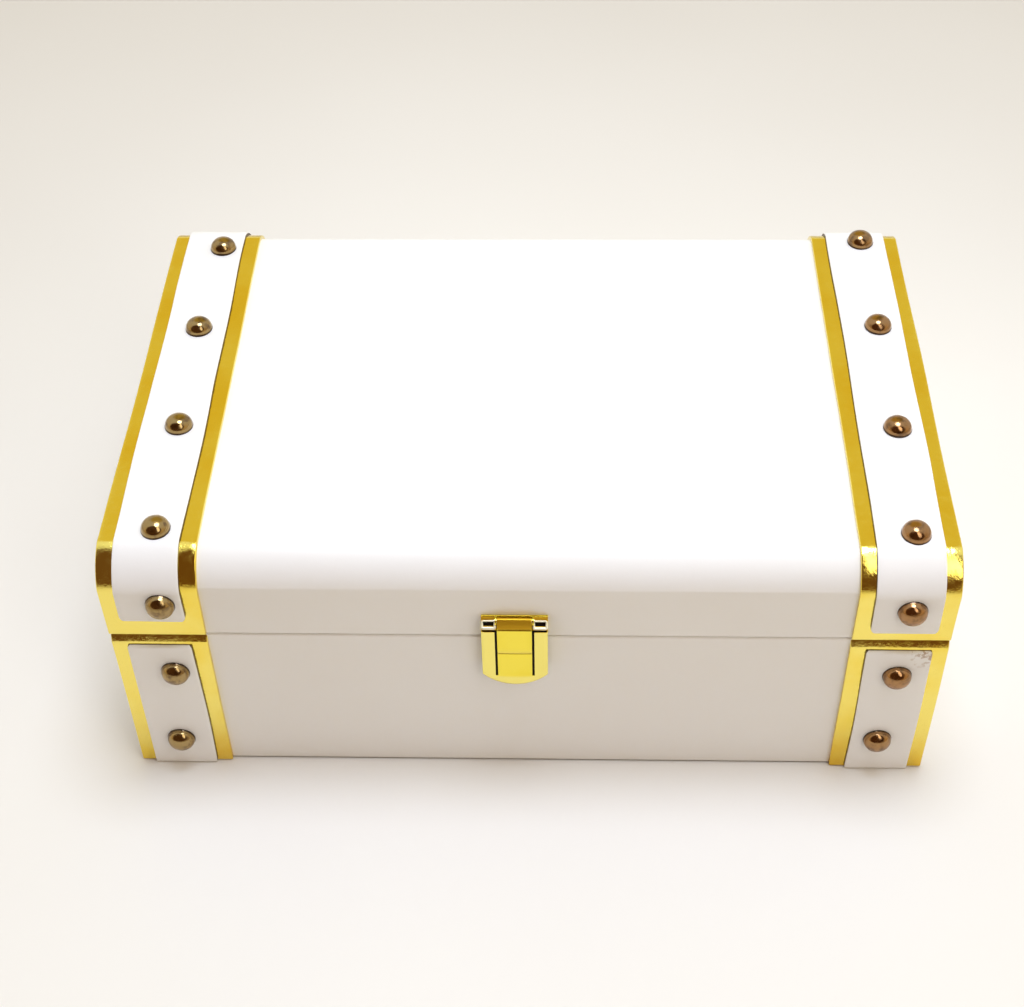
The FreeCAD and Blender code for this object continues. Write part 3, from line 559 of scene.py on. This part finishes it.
def make_light():
    """A pale room: bright above, warm and dim towards the person who stands in front of the box."""
    world = bpy.data.worlds.new("room")
    scene.world = world
    world.use_nodes = True
    nodes, links = world.node_tree.nodes, world.node_tree.links
    nodes.clear()
    way = nodes.new("ShaderNodeTexCoord").outputs["Generated"]

    def vector_math(operation, first, second=(0, 0, 0)):
        node = nodes.new("ShaderNodeVectorMath")
        node.operation = operation
        links.new(first, node.inputs[0])
        node.inputs[1].default_value = second
        return node.outputs["Value" if operation == "DOT_PRODUCT" else "Vector"]

    def towards(direction, low, high, squeeze=(1, 1, 1)):
        """1 near one of the world's directions, 0 elsewhere; squeeze below 1 widens it on that axis."""
        unit = vector_math("NORMALIZE", vector_math("MULTIPLY", way, squeeze))
        span = nodes.new("ShaderNodeMapRange")
        span.interpolation_type = "SMOOTHSTEP"
        span.inputs["From Min"].default_value = low
        span.inputs["From Max"].default_value = high
        links.new(vector_math("DOT_PRODUCT", unit, Vector(direction).normalized()), span.inputs["Value"])
        return span.outputs["Result"]

    def mixed(fac, first, second):
        return mix_colors(nodes, links, fac, first, second)

    wall, front, zenith = (0.95, 0.925, 0.87), (0.95, 0.755, 0.44), (0.97, 0.99, 1.0)
    amber, person = (0.78, 0.63, 0.18), (0.15, 0.072, 0.03)
    around = mixed(towards((0, -1, 0), -0.4, 0.45), wall, front)
    sky = mixed(towards((0, 0, 1), 0.30, 0.95), around, zenith)
    sky = mixed(towards((0, 0.74, 0.67), 0.84, 0.95), sky, amber)
    sky = mixed(towards((-0.12, -0.75, 0.62), 0.66, 0.80, (0.6, 1, 1)), sky, person)
    # What lights the box stays out of sight: behind the floor the room is plain.
    sky = mixed(nodes.new("ShaderNodeLightPath").outputs["Is Camera Ray"], sky, wall)
    background = nodes.new("ShaderNodeBackground")
    background.inputs["Strength"].default_value = 0.96
    links.new(sky, background.inputs["Color"])
    links.new(background.outputs[0], nodes.new("ShaderNodeOutputWorld").inputs["Surface"])

    area_light("key", (0.10, 0.02, 1.5), (0, -0.08, 0.05), 0.7, 0.7, 2.48, (0.88, 0.99, 1.23), 80)
    area_light("window", (0.40, -0.68, 0.97), (0.10, -0.05, 0.09), 0.40, 1.1, 1.38, (1.0, 0.98, 0.93), 120)


def make_floor():
    reach = 4.0
    mesh = bpy.data.meshes.new("floor")
    places = [(-reach, -reach, 0), (reach, -reach, 0), (reach, reach, 0), (-reach, reach, 0)]
    mesh.from_pydata(places, [], [(0, 1, 2, 3)])
    mesh.materials.append(floor_cloth("floor_cloth"))
    floor = bpy.data.objects.new("floor", mesh)
    scene.collection.objects.link(floor)


scene.view_settings.view_transform = "Standard"
make_camera()
make_light()
make_floor()


# ---- wrapped case ----
def case_share(middle):
    """Full rounding on the outside edges, less on the rims inside and underneath."""
    outside_x, outside_y, underneath = 150 * MM, 98.5 * MM, 2 * MM
    if middle.z < underneath:
        return 0.55
    return 1.0 if abs(middle.x) > outside_x or abs(middle.y) > outside_y else 0.4


PAINTED_CONTACT_SHADE_TOP = 0.84 * MM  # painted contact shade: the cover's foot below this height is coloured nearly black
base_cover = soften("base_cover", 0.9 * MM, 4, share=case_share)
# Mark the cover's foot for the dark colour: painted contact shade where it meets the floor.
cut_and_shade = base_cover.data.attributes.new("cut_and_shade", "FLOAT", "POINT")
for vertex in base_cover.data.vertices:
    cut_and_shade.data[vertex.index].value = 1.0 if vertex.co.z < PAINTED_CONTACT_SHADE_TOP else 0.0
soften("lid_cover", 0.9 * MM, 4, crease=0.55, share=case_share)
for node in ("lid_front_rail", "lid_back_rail", "lid_left_end", "lid_right_end", "lid_top_board"):
    soften(node, 0.15 * MM, 1)
soften("bottom_felt", 0.5 * MM, 3)

# ---- bands and straps ----
STEP = 2.5 * MM  # between a strip's cross-sections and between its columns
NEAR = (0.04, 0.12, 0.25, 0.4, 0.6, 0.8, 1.0)  # where cross-sections crowd towards an end
UP = Vector((0, 0, 1))
GOLD, STRAP = 1.6 * MM, 1.4 * MM  # thicknesses
WORN_REACH = 9 * MM


def over_lid(low_z):
    """Path over the lid's cover from the front at low_z to the back at low_z."""
    steps, clear = 12, 0.5 * MM
    face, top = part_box("lid_cover")[1].y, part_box("lid_cover")[1].z

    def crease(tilt, flat_tilt):
        """The arc's end, with its normal halfway to that of the flat face beside it."""
        turn = (tilt + flat_tilt) / 2
        return on_arc(tilt, 0, -1)[0], Vector((0, -math.sin(turn), math.cos(turn)))

    front = line_path(Vector((0, -face, low_z)), Vector((0, -face, CREASE_Z - clear)), Vector((0, -1, 0)))
    front.append(crease(TILT_END, math.pi / 2))
    front += [on_arc(TILT_END + (TILT_START - TILT_END) * i / steps, 0, -1) for i in range(1, steps)]
    front.append(crease(TILT_START, 0))
    flat = line_path(Vector((0, clear - CREASE_Y, top)), Vector((0, CREASE_Y - clear, top)), UP)
    back = [(Vector((0, -point.y, point.z)), Vector((0, -normal.y, normal.z)))
            for point, normal in reversed(front)]
    return front + flat + back


def up_base(node, low_z, high_z):
    """Path up the cover at the front or back of the base."""
    side = -1 if "front" in node else 1
    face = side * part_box("base_cover")[1].y
    return line_path(Vector((0, face, low_z)), Vector((0, face, high_z)), Vector((0, side, 0)))


def refined_ends(path, reach):
    """Add stations near both ends, so that the ends come out round."""
    def near(first, second):
        run = (second[0] - first[0]).normalized()
        return [first] + [(first[0] + run * reach * share, first[1]) for share in NEAR]

    def from_ends(station):
        return min((station[0] - path[0][0]).length, (station[0] - path[-1][0]).length)

    inner = [station for station in path if from_ends(station) > reach * 1.05]
    return near(path[0], path[1]) + inner + list(reversed(near(path[-1], path[-2])))


def lay_strips():
    # The strap at the front right of the base is scuffed at its upper outer corner.
    corner_low, corner_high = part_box("base_white_strap_front_right")
    scuffed = Vector((corner_high.x - 2 * MM, corner_low.y, corner_high.z - 1 * MM))
    names = sorted(node for node in NODES if "gold_band" in node or "white_strap" in node)
    for order, node in enumerate(names):
        is_gold, is_lid = "gold_band" in node, node.startswith("lid")
        low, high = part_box(node)
        path = over_lid(low.z) if is_lid else up_base(node, low.z, high.z)
        if is_gold:
            below, thickness, waves = 0, GOLD, 0.35 * MM
            ends, corners = (((1.4, 2), (1.4, 2)) if is_lid else ((0.3, 2), (3.0, 1.05))), (0.5, 0.5)
        else:
            below, thickness, waves = GOLD, STRAP, 0.75 * MM
            ends, corners = ((0.7, 2), (0.7, 2)), ((2.6, 2.6) if is_lid else (0.6, 1.0))
        lips = [(end * MM, power) for end, power in ends]
        corners = [corner * MM for corner in corners]
        path = refined_ends(path, max(*corners, *(lip for lip, _ in lips)))
        seed = order * 3.7
        strip(node + "_laid", node, path, low.x, high.x, below, thickness, 0.45 * MM, lips, corners, waves,
              seed, scuffed)


lay_strips()


# ---- dome nails ----
def dome_nails(node, seed):
    """Dome-headed nails with a thin rim, each knocked in at its own slight angle."""
    draw = random.Random(seed)
    radius, height, rim, sink = 5.4 * MM, 4.7 * MM, 0.4 * MM, 0.06 * MM
    top_nails, segments, dome_steps, largest_lean, dent = 112 * MM, 40, 16, 0.035, 0.04 * MM
    profile = [(radius * 0.97, -0.3 * MM), (radius, 0.0), (radius, rim * 0.6), (radius * 0.985, rim)]
    foot_rings = len(profile)
    for step in range(1, dome_steps + 1):
        turn = math.pi / 2 * step / dome_steps
        across = max(radius * 0.965 * math.cos(turn), 0.02 * MM)
        profile.append((across, rim + (height - rim) * math.sin(turn) ** 0.94))
    work = bmesh.new()
    for low, high in islands(NODES[node].data):
        middle = (low + high) / 2
        if high.z > top_nails:
            foot, way = Vector((middle.x, middle.y, high.z - height - sink)), UP
        else:
            side = math.copysign(1, middle.y)
            reach = max(abs(high.y), abs(low.y)) - height - sink
            foot, way = Vector((middle.x, side * reach, middle.z)), Vector((0, side, 0))
        lean = Vector((draw.uniform(-1, 1), draw.uniform(-1, 1), draw.uniform(-1, 1))) * largest_lean
        turn = UP.rotation_difference((way + lean).normalized()).to_matrix().to_4x4()
        lathe(work, profile, Matrix.Translation(foot) @ turn, segments)
    # Mark the lowest rings for the dark foot: patina plus painted shade under the rim.
    foot_patina_and_shade_layer = work.verts.layers.float.new("foot")
    for index, vertex in enumerate(work.verts):
        vertex.co += vertex.co.normalized() * dent * noise.noise(vertex.co * 420)
        vertex[foot_patina_and_shade_layer] = 1.0 if index // segments % len(profile) < foot_rings else 0.0
    bmesh.ops.recalc_face_normals(work, faces=work.faces)
    mesh = to_mesh(node + "_domes", work)
    smooth(mesh, 50)
    piece(node + "_domes", mesh, node, [node])


dome_nails("base_studs", 3)
dome_nails("lid_studs", 5)


# ---- latch ----
def sheet_metal(name, work, node, thickness, rounding, segments, stands_for=None):
    """Make an open surface a piece of bent sheet of some thickness with rounded edges."""
    mesh = to_mesh(name, work)
    item = piece(name, mesh, node, stands_for)
    solid = item.modifiers.new("sheet", "SOLIDIFY")
    solid.thickness = thickness
    solid.offset = -1
    bevel = item.modifiers.new("edge", "BEVEL")
    bevel.width = rounding
    bevel.segments = segments
    bevel.limit_method = "ANGLE"
    bevel.angle_limit = math.radians(50)
    smooth(mesh, 32)
    settle(item)


def stamped_flap():
    """The swinging shield: two wings around a tongue that is folded back and rolled round the pin."""
    low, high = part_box("latch_flap")
    middle, half = (low.x + high.x) / 2, (high.x - low.x) / 2
    front, bottom = low.y, low.z
    shoulder, slot_low, crease_z, wing_top, fold = (z * MM for z in (58.4, 57.9, 70.1, 81.95, 83.0))
    slot_in, slot_out, tiny = 6.25 * MM, 7.15 * MM, 0.01 * MM
    pin, barrel = Vector((0, -102.3 * MM, 85.4 * MM)), 1.3 * MM
    bow = (half ** 2 + (shoulder - bottom) ** 2) / (2 * (shoulder - bottom))
    outer = [half - gap * MM for gap in (3.2, 1.9, 1.0, 0.45, 0.12, 0.02)]
    right = [0, 1.5 * MM, 3.1 * MM, 4.7 * MM, 5.8 * MM, slot_in, slot_out] + outer
    columns = [-x for x in reversed(right[1:])] + right
    lower = [0, 0.03, 0.09, 0.18, 0.32, 0.52, 0.75]
    upper = [slot_low] + [slot_low + (crease_z - slot_low) * share for share in (0.25, 0.5, 0.75, 0.97)]
    upper += [crease_z, crease_z + 0.36 * MM]
    upper += [crease_z + (wing_top - crease_z) * share for share in (0.25, 0.5, 0.75, 0.94, 1.0)]
    work = bmesh.new()
    pale, satin = (work.verts.layers.float.new(label) for label in ("pale", "satin"))
    grid = {}

    def front_at(x, z, floor_z):
        pressed_depth, pressed_width, crown_depth, groove_depth = (d * MM for d in (0.42, 1.1, 0.10, 0.22))
        edge = min(half - abs(x), (z - floor_z) * 0.9)
        press = pressed_depth * max(0.0, 1 - edge / pressed_width) ** 2
        crown = crown_depth * (x / slot_in) ** 2 if abs(x) <= slot_in else crown_depth
        groove = groove_depth if abs(z - crease_z) < tiny and abs(x) < slot_in + tiny else 0
        return front + press + crown + groove

    for column, x in enumerate(columns):
        floor_z = bottom + bow - math.sqrt(bow ** 2 - x ** 2)
        first_row = max(slot_low, floor_z + 0.35 * MM)
        zs = [floor_z + (first_row - floor_z) * share for share in lower] + [first_row] + upper[1:]
        for row, z in enumerate(zs):
            vertex = work.verts.new((middle + x, front_at(x, z, floor_z), z))
            vertex[pale] = 0.8 if abs(x) > slot_in + 0.1 * MM or z < slot_low - 0.3 * MM else 0.0
            grid[column, row] = vertex
    rows = len(lower) + len(upper)
    for column in range(len(columns) - 1):
        slotted = {abs(columns[column]), abs(columns[column + 1])} == {slot_in, slot_out}
        for row in range(rows - 1):
            if not (slotted and row >= len(lower)):
                work.faces.new((grid[column, row], grid[column + 1, row], grid[column + 1, row + 1],
                                grid[column, row + 1]))
    # side flanges
    for column, way in ((0, 1), (len(columns) - 1, -1)):
        first = [row for row in range(rows) if grid[column, row].co.z > shoulder + 0.6 * MM]
        last_back = None
        for row in first:
            edge = grid[column, row].co
            depth = 0.25 + 0.75 * min(1.0, (wing_top - edge.z) / (3.2 * MM))
            chain = [grid[column, row]]
            for reach in (0.5 * MM, 1.5 * MM, 2.6 * MM):
                chain.append(work.verts.new((edge.x - way * 0.02 * MM, edge.y + reach * depth, edge.z)))
            if last_back:
                for index in range(len(chain) - 1):
                    quad = (last_back[index], last_back[index + 1], chain[index + 1], chain[index])
                    work.faces.new(quad if way > 0 else tuple(reversed(quad)))
            last_back = chain
    # tongue: fold, Bezier facet and roll, as (y, z)
    def on_barrel(degrees):
        turn = math.radians(degrees)
        return Vector((pin.y + barrel * math.cos(turn), pin.z + barrel * math.sin(turn)))

    trail = [(front + 0.10 * MM, fold - 0.32 * MM), (front + 0.42 * MM, fold - 0.02 * MM),
             (front + 0.06 * MM, fold + 0.16 * MM)]
    first, last = Vector(trail[-1]), on_barrel(110)
    handles = (first + Vector((0.42, 0.9)) * 1.6 * MM, last - Vector((0.62, 0.78)) * 1.5 * MM)
    for step in range(1, 9):
        share = step / 8
        rest = 1 - share
        trail.append(first * rest ** 3 + handles[0] * 3 * rest ** 2 * share
                     + handles[1] * 3 * rest * share ** 2 + last * share ** 3)
    trail += [on_barrel(degrees) for degrees in range(95, -100, -15)]
    tongue = [column for column, x in enumerate(columns) if abs(x) <= slot_in + tiny]
    before = {column: grid[column, rows - 1] for column in tongue}
    for y, z in trail:
        now = {column: work.verts.new((middle + columns[column], y, z)) for column in tongue}
        for vertex in now.values():
            # The rolled top is marked satin: rougher, and deeper amber as a painted reflection.
            vertex[satin] = 1.0 if z > fold + 0.3 * MM else 0.0
        for first, second in zip(tongue, tongue[1:]):
            work.faces.new((before[first], before[second], now[second], now[first]))
        before = now
    bmesh.ops.recalc_face_normals(work, faces=work.faces)
    if sum(face.normal.y for face in work.faces if face.calc_center_median().z < crease_z) > 0:
        bmesh.ops.reverse_faces(work, faces=work.faces)
    sheet_metal("latch_flap_stamped", work, "latch_flap", 0.5 * MM, 0.09 * MM, 2, ["latch_flap"])


def slabs(name, body, material, boxes):
    """Small blocks, here near-black sheets of painted shade: each a list of eight corners, bottom four and
    top four.
    """
    work = bmesh.new()
    for corners in boxes:
        made = [work.verts.new(corner) for corner in corners]
        for face in ((3, 2, 1, 0), (4, 5, 6, 7), (0, 1, 5, 4), (1, 2, 6, 5), (2, 3, 7, 6), (3, 0, 4, 7)):
            work.faces.new([made[index] for index in face])
    bmesh.ops.bevel(work, geom=list(work.edges), offset=0.06 * MM, segments=2, affect="EDGES")
    bmesh.ops.recalc_face_normals(work, faces=work.faces)
    mesh = to_mesh(name, work)
    item = bpy.data.objects.new(name, mesh)
    scene.collection.objects.link(item)
    mesh.materials.append(material)
    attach(item, body)


def sloped(x0, x1, first, second, thickness):
    """Corners of a sheet that slopes in YZ from first to second, thickness deep below it."""
    along = (Vector(second) - Vector(first)).normalized()
    inward = Vector((along.y, -along.x)) * thickness
    if inward.x < 0:
        inward = -inward
    lower = [Vector(first) + inward, Vector(second) + inward]
    upper = [Vector(first), Vector(second)]
    return [Vector((x, point.x, point.y)) for pair in (lower, upper)
            for x, point in ((x0, pair[0]), (x1, pair[0]), (x1, pair[1]), (x0, pair[1]))]


def upright(middle, x, y, z):
    """Corners of an upright block between limits in millimetres, with x measured from the latch's middle."""
    return [Vector((middle + across * MM, deep * MM, high * MM)) for high in z
            for across, deep in ((x[0], y[0]), (x[1], y[0]), (x[1], y[1]), (x[0], y[1]))]


def bead_loops(middle, foot, head):
    """Beads pressed round the two windows, heavier along their lower sides, in a pale cream plate that
    paints in their bright highlights.

    They are laid out in millimetres: x from the latch's middle, s up the hood's slope from its foot.
    """
    low_x, high_x, low_s, high_s, corner = 7.0, 11.6, 0.68, 3.3, 0.4
    thick, thin, thick_below, raised = 0.55, 0.32, 1.2, 0.05
    around, quarter = 10, 4
    ends = ((high_x, high_s, 0), (low_x, high_s, 90), (low_x, low_s, 180), (high_x, low_s, 270))
    work = bmesh.new()
    along = (head - foot).normalized()
    out = Vector((-along.y, along.x))
    for side in (-1, 1):
        loop = []
        for x, s, start in ends:
            centre_x = x - math.copysign(corner, x - (low_x + high_x) / 2)
            centre_s = s - math.copysign(corner, s - (low_s + high_s) / 2)
            for step in range(quarter + 1):
                turn = math.radians(start + 90 * step / quarter)
                loop.append((centre_x + corner * math.cos(turn), centre_s + corner * math.sin(turn)))
        rings = []
        for index, (x, s) in enumerate(loop):
            before, after = loop[index - 1], loop[(index + 1) % len(loop)]
            way = Vector((after[0] - before[0], after[1] - before[1])).normalized()
            radius = thick if s < thick_below else thin
            ring = []
            for step in range(around):
                turn = math.tau * step / around
                across = radius * math.cos(turn)
                rise = radius * math.sin(turn) * 0.9
                point_x, point_s = x + way.y * across, s - way.x * across
                place = foot + (along * point_s + out * (rise + raised)) * MM
                ring.append(work.verts.new((middle + side * point_x * MM, place.x, place.y)))
            rings.append(ring)
        skin(work, rings + rings[:1])
    bmesh.ops.recalc_face_normals(work, faces=work.faces)
    mesh = to_mesh("latch_window_beads", work)
    smooth(mesh, 80)
    piece("latch_window_beads", mesh, "latch_plate")
    mesh.materials[0] = PAINTED_HIGHLIGHT_PLATE


def hood():
    """Sloped frames beside the tongue, each round a window with a near-black sheet of painted shade behind
    it.
    """
    low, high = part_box("latch_flap")
    middle = (low.x + high.x) / 2
    foot, head = Vector((-104.45, 82.95)) * MM, Vector((-101.15, 86.55)) * MM  # (y, z) of the slope
    window_columns, window_rows = (2, 3), (3, 4, 5)
    work = bmesh.new()
    satin = work.verts.layers.float.new("satin")
    for side in (-1, 1):
        columns = [x * MM * side for x in (6.45, 7.0, 7.2, 9.6, 11.3, 11.6, 11.9, 11.98)]
        shares = (0.0, 0.04, 0.22, 0.30, 0.42, 0.60, 0.66, 0.88, 1.0)
        grid = {}
        for i, x in enumerate(columns):
            for j, share in enumerate(shares):
                place = foot.lerp(head, share)
                grid[i, j] = work.verts.new((middle + x, place.x, place.y))
        for i in range(len(columns) - 1):
            for j in range(len(shares) - 1):
                if not (i in window_columns and j in window_rows):
                    work.faces.new((grid[i, j], grid[i + 1, j], grid[i + 1, j + 1], grid[i, j + 1]))
        # The outer side is folded in.
        rim = len(columns) - 1
        before = None
        for j in range(len(shares)):
            now = work.verts.new(grid[rim, j].co + Vector((0, 0.55 * MM, -0.5 * MM)))
            if before:
                work.faces.new((grid[rim, j - 1], before, now, grid[rim, j]))
            before = now
    # The whole hood is marked satin: rougher, and deeper amber as a painted reflection.
    for vertex in work.verts:
        vertex[satin] = 1.0
    bmesh.ops.recalc_face_normals(work, faces=work.faces)
    if sum(face.normal.z for face in work.faces) < 0:
        bmesh.ops.reverse_faces(work, faces=work.faces)
    sheet_metal("latch_hood_frames", work, "latch_plate", 0.4 * MM, 0.12 * MM, 3)
    bead_loops(middle, foot, head)
    # Near-black sheets of painted shade: behind the windows, in the gap above the wings and behind the
    # flap's slots.
    inner = Vector((0.62, -0.55)) * MM
    shade_backs, slot_shades = [], []
    for side in (-1, 1):
        low_x, high_x = sorted((middle + side * 6.9 * MM, middle + side * 11.7 * MM))
        shade_backs.append(sloped(low_x, high_x, tuple(foot + inner), tuple(head + inner), 0.25 * MM))
        shade_backs.append(upright(middle, sorted((side * 6.5, side * 11.6)), (-104.0, -103.75), (80.4, 82.6)))
        slot_shades.append(upright(middle, sorted((side * 5.9, side * 7.5)), (-104.27, -104.02), (57.4, 81.85)))
    slabs("latch_window_painted_shade", "lid", PAINTED_SHADE_SHEET, shade_backs)
    slabs("latch_slot_painted_shade", "latch_flap", PAINTED_SHADE_SHEET, slot_shades)


stamped_flap()
hood()
soften("latch_plate", 0.18 * MM, 3)
soften("latch_keeper", 0.16 * MM, 2)

# ---- hinges ----
for side in ("left", "right"):
    soften("hinge_base_leaf_" + side, 0.2 * MM, 2)
    soften("hinge_lid_leaf_" + side, 0.2 * MM, 2)
for node in ("hinge_base_screws", "hinge_lid_screws", "latch_pin", "hinge_pin_left", "hinge_pin_right"):
    smooth(NODES[node].data, 40)
for node in ("hinge_base_screws", "hinge_lid_screws"):
    NODES[node].data.materials[0] = SCREW_BRASS

# ---- inside: wrapped boards and linings ----
for node, slot_name in SLOT_OF.items():
    if slot_name == "tray_velvet_board":
        soften(node, 0.8 * MM, 4)
    elif slot_name == "velvet_lining":
        soften(node, (0.7 if node.startswith("ledge") else 0.3) * MM, 3)


# ---- inside: stuffed pieces ----
CLOTH_FRAMES = 20


class Stuffed:
    """A padded piece that Blender's cloth simulation blows up from a slightly smaller form."""

    def __init__(self, name, node, work, pinned, cap, pressure):
        self.cap = cap
        bmesh.ops.recalc_face_normals(work, faces=work.faces)
        mesh = bpy.data.meshes.new(name)
        work.verts.index_update()
        indices = [vertex.index for vertex in pinned]
        work.to_mesh(mesh)
        work.free()
        self.item = piece(name, mesh, node, [node])
        self.start = [vertex.co.copy() for vertex in mesh.vertices]
        self.item.vertex_groups.new(name="pin").add(indices, 1.0, "REPLACE")
        cloth = self.item.modifiers.new("cloth", "CLOTH")
        cloth.settings.use_pressure = True
        cloth.settings.uniform_pressure_force = pressure
        cloth.settings.effector_weights.gravity = 0
        cloth.settings.vertex_group_mass = "pin"
        cloth.settings.mass = 0.25
        cloth.settings.quality = 6
        cloth.settings.bending_stiffness = 0.4
        cloth.collision_settings.use_collision = False
        cloth.point_cache.frame_start, cloth.point_cache.frame_end = 1, CLOTH_FRAMES

    def finish(self, fill):
        settle(self.item)
        mesh = self.item.data
        for vertex, start in zip(mesh.vertices, self.start):
            moved = vertex.co - start
            if moved.length > self.cap:
                vertex.co = start + moved * (self.cap / moved.length)
        smooth(mesh, 80)
        self.item.vertex_groups.clear()
        finer = self.item.modifiers.new("finer", "SUBSURF")
        finer.levels = finer.render_levels = 1
        settle(self.item)
        smooth(self.item.data, 80)


def quilted_pad(name, node, side, pitch, cap):
    """A thin pad, quilted in squares; side is 1 where its soft face looks up and -1 where it looks down."""
    low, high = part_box(node)
    count_x, count_y = (max(1, round((high[axis] - low[axis]) / pitch)) for axis in (0, 1))
    per = 8  # quads across one square
    deepest, shallowest = 3.1 * MM, 1.3 * MM  # below the box's face, at the stitches and mid-square
    work = bmesh.new()
    layers = {}
    pinned = []
    back, face = (low.z, high.z) if side > 0 else (high.z, low.z)
    steps_x, steps_y = count_x * per, count_y * per
    for layer, z in ((0, back), (1, face)):
        for i in range(steps_x + 1):
            for j in range(steps_y + 1):
                x = low.x + (high.x - low.x) * i / steps_x
                y = low.y + (high.y - low.y) * j / steps_y
                stitched = i % per == 0 or j % per == 0
                dome = math.sin(math.pi * (i % per) / per) * math.sin(math.pi * (j % per) / per)
                depth = deepest + (shallowest - deepest) * dome ** 0.45
                vertex = work.verts.new((x, y, z - side * depth * layer))
                layers[layer, i, j] = vertex
                if layer == 0 or stitched:
                    pinned.append(vertex)
    for i in range(steps_x):
        for j in range(steps_y):
            square = ((i, j), (i + 1, j), (i + 1, j + 1), (i, j + 1))
            for layer in (0, 1):
                work.faces.new([layers[layer, a, b] for a, b in square])
    border = [(i, 0) for i in range(steps_x)] + [(steps_x, j) for j in range(steps_y)]
    border += [(i, steps_y) for i in range(steps_x, 0, -1)] + [(0, j) for j in range(steps_y, 0, -1)]
    for first, second in zip(border, border[1:] + border[:1]):
        work.faces.new((layers[0, *first], layers[0, *second], layers[1, *second], layers[1, *first]))
    return Stuffed(name, node, work, pinned, cap, 14.0)


def ring_rolls(name, node, cap):
    """Foam rolls that hold rings between them: round above, pinched together where they meet the floor."""
    boxes = islands(NODES[node].data)
    work = bmesh.new()
    pinned = []
    around, along = 22, 30
    end_gap, side_gap, top_gap, tucked = (gap * MM for gap in (0.3, 0.5, 0.6, 6))
    draw = random.Random(11)
    for low, high in sorted(boxes, key=lambda box: box[0].y):
        half = (high.y - low.y) / 2 - side_gap
        centre_y, centre_z = (low.y + high.y) / 2, high.z - half - top_gap
        depth = centre_z - low.z
        phase = draw.uniform(0, 9)
        rings = []
        for step in range(along + 1):
            share = step / along
            x = low.x + end_gap + (high.x - low.x - 2 * end_gap) * share
            end = min(share, 1 - share) * (high.x - low.x)
            tuck = 1 - 0.22 * max(0.0, 1 - end / tucked) ** 2
            ring = []
            for turn in range(around):
                angle = math.tau * turn / around
                y, z = math.sin(angle) * half * tuck, math.cos(angle) * half * tuck
                if z < 0:
                    z *= depth / half * (1 / tuck)
                    y *= 1 - 0.12 * (-z / depth)
                ripple = 0.25 * MM * noise.noise(Vector((x * 160 + phase, angle * 1.2, phase)))
                place = (x, centre_y + y * (1 + ripple / half), centre_z + z + ripple * (z > 0))
                vertex = work.verts.new(place)
                ring.append(vertex)
                if z < -depth * 0.75 or step in (0, along):
                    pinned.append(vertex)
            rings.append(ring)
        skin(work, rings)
        for ring, way in ((rings[0], -1), (rings[-1], 1)):
            centre = sum((vertex.co for vertex in ring), Vector()) / around
            hub = work.verts.new(centre + Vector((way * 0.25 * MM, 0, 0)))
            pinned.append(hub)
            for turn in range(around):
                work.faces.new((ring[turn], ring[(turn + 1) % around], hub))
    return Stuffed(name, node, work, pinned, cap, 12.0)


stuffed = [
    (quilted_pad("lid_pad_quilted", "lid_pad", -1, 35 * MM, 1.2 * MM), 0.5),
    (quilted_pad("base_floor_pad_quilted", "base_floor_pad", 1, 35 * MM, 1.2 * MM), 0.4),
    (ring_rolls("ring_rolls_stuffed", "ring_rolls", 0.7 * MM), 0.8),
]
for frame_number in range(1, CLOTH_FRAMES + 1):
    scene.frame_set(frame_number)
for pad, fill in stuffed:
    pad.finish(fill)
scene.frame_set(1)


def corners(box):
    return [list(box[0]), list(box[1])]
